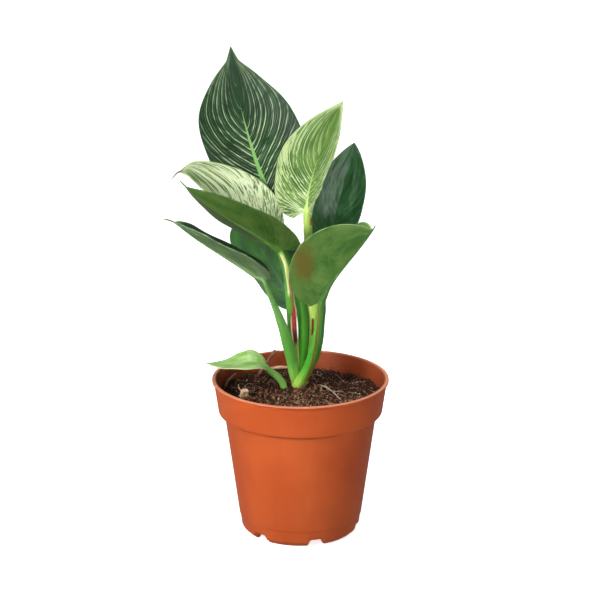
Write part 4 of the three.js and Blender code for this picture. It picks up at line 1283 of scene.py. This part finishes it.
def makeChip():
    # a split piece of pine bark, hollow-faced, with torn edges and a splinter
    mesh = bmesh.new()
    bmesh.ops.create_cube(mesh, size=1)
    bmesh.ops.subdivide_edges(mesh, edges=mesh.edges, cuts=chip["cuts"], use_grid_fill=True)
    width, depth, height = chip["size"]
    across, deep, tall = chip["core"]
    turned = Euler((chip["lean"], 0, chip["turn"])).to_matrix()
    for vert in mesh.verts:
        x, y, z = vert.co
        taper = 1 - chip["taper"] * (z + 0.5)
        shape = Vector((x * width * across * taper, y * depth * deep * (1 - 0.5 * x * x),
                        z * height * tall))
        if y < 0:
            shape.y += chip["dent"] * max(0, 1 - ((x - 0.05) ** 2 + (z - 0.1) ** 2) / 0.06)
        rough = Vector([noise.noise(shape * 0.9 + Vector(seed)) for seed in chip["seeds"]])
        vert.co = (turned @ (shape + rough * chip["rough"]) + Vector(chip["place"])) * mm
    bmesh.ops.recalc_face_normals(mesh, faces=mesh.faces)
    growTube(mesh, smoothPath(chip["splinter"], 4), 6)
    return finishPiece("barkChip", mesh, [dryMaterial("pineBark", chip, 0.75)],
                       ["bark_chip"], chip["sharp"])


for item in litter:
    makeLitter(item)
makeChip()
print("loose pieces made")

studio = {
    "world": 0.34, "floorSize": 6, "floorColour": "ffffff", "floorGlow": 0.75,
    "aim": (0, 0, 0.14),  # where all lights point
    "lights": {
        "key": {"place": (-0.94, -0.93, 0.78), "size": 0.6, "power": 16.8},
        "fill": {"place": (-0.1, -1.5, 0.35), "size": 0.9, "power": 2.4},
        "card": {"place": (0.45, -1.3, 0.4), "size": 0.4, "power": 6.5, "diffuse": False},
        "grid": {"place": (-0.1, -1.25, 0.3), "size": 0.2, "power": 0.042, "glossy": False,
                 "spread": 12},  # a narrow one on the stalks
        "top": {"place": (0.25, -0.1, 1.3), "size": 0.5, "power": 5},
    },
}
camera = {"place": (-0.00025, -1.4016, 0.5844), "pitchDown": 17.49, "lens": 149.96, "sensor": 36}


def makeFloor():
    mesh = bmesh.new()
    bmesh.ops.create_grid(mesh, x_segments=1, y_segments=1, size=studio["floorSize"])
    floor = addObject("studioFloor", toMesh("studioFloor", mesh))
    material, shader, add = newMaterial("whitePaper", 0.9, specular=0.1)
    coords = add("TexCoord", {}).outputs["Object"]
    tooth = add("TexNoise", {"Scale": 400, "Vector": coords})
    colour = add("ValToRGB", {"stops": [(0.0, "fbfbfb"), (1.0, "ffffff")], "Fac": tooth})
    setNode(shader, {"Base Color": colour, "Emission Color": studio["floorColour"],
                     "Emission Strength": studio["floorGlow"]})
    floor.data.materials.append(material)
    floor.visible_diffuse = False  # the white floor doesn't light the plant from below
    floor.visible_glossy = False


def makeLight(name, light):
    data = bpy.data.lights.new(name, "AREA")
    data.shape = "DISK"
    data.size = light["size"]
    data.energy = light["power"]
    data.spread = math.radians(light.get("spread", 180))
    lamp = addObject(name, data)
    lamp.location = light["place"]
    lamp.rotation_mode = "QUATERNION"
    aim = Vector(studio["aim"]) - Vector(light["place"])
    lamp.rotation_quaternion = aim.to_track_quat("-Z", "Y")
    lamp.visible_diffuse = light.get("diffuse", True)
    lamp.visible_glossy = light.get("glossy", True)


def makeStudio():
    world = bpy.data.worlds.new("studioWorld")
    world.use_nodes = True
    setNode(world.node_tree.nodes["Background"], {"Color": "ffffff", "Strength": studio["world"]})
    bpy.context.scene.world = world
    for name, light in studio["lights"].items():
        makeLight(name + "Light", light)
    view = bpy.data.cameras.new("photoView")
    view.lens = camera["lens"]
    view.sensor_width = camera["sensor"]
    view.clip_end = 20
    lookout = addObject("photoView", view)
    lookout.location = camera["place"]
    lookout.rotation_euler = (math.radians(90 - camera["pitchDown"]), 0, 0)
    bpy.context.scene.camera = lookout
    bpy.context.scene.view_settings.view_transform = "Standard"


makeFloor()
makeStudio()
print("studio made")
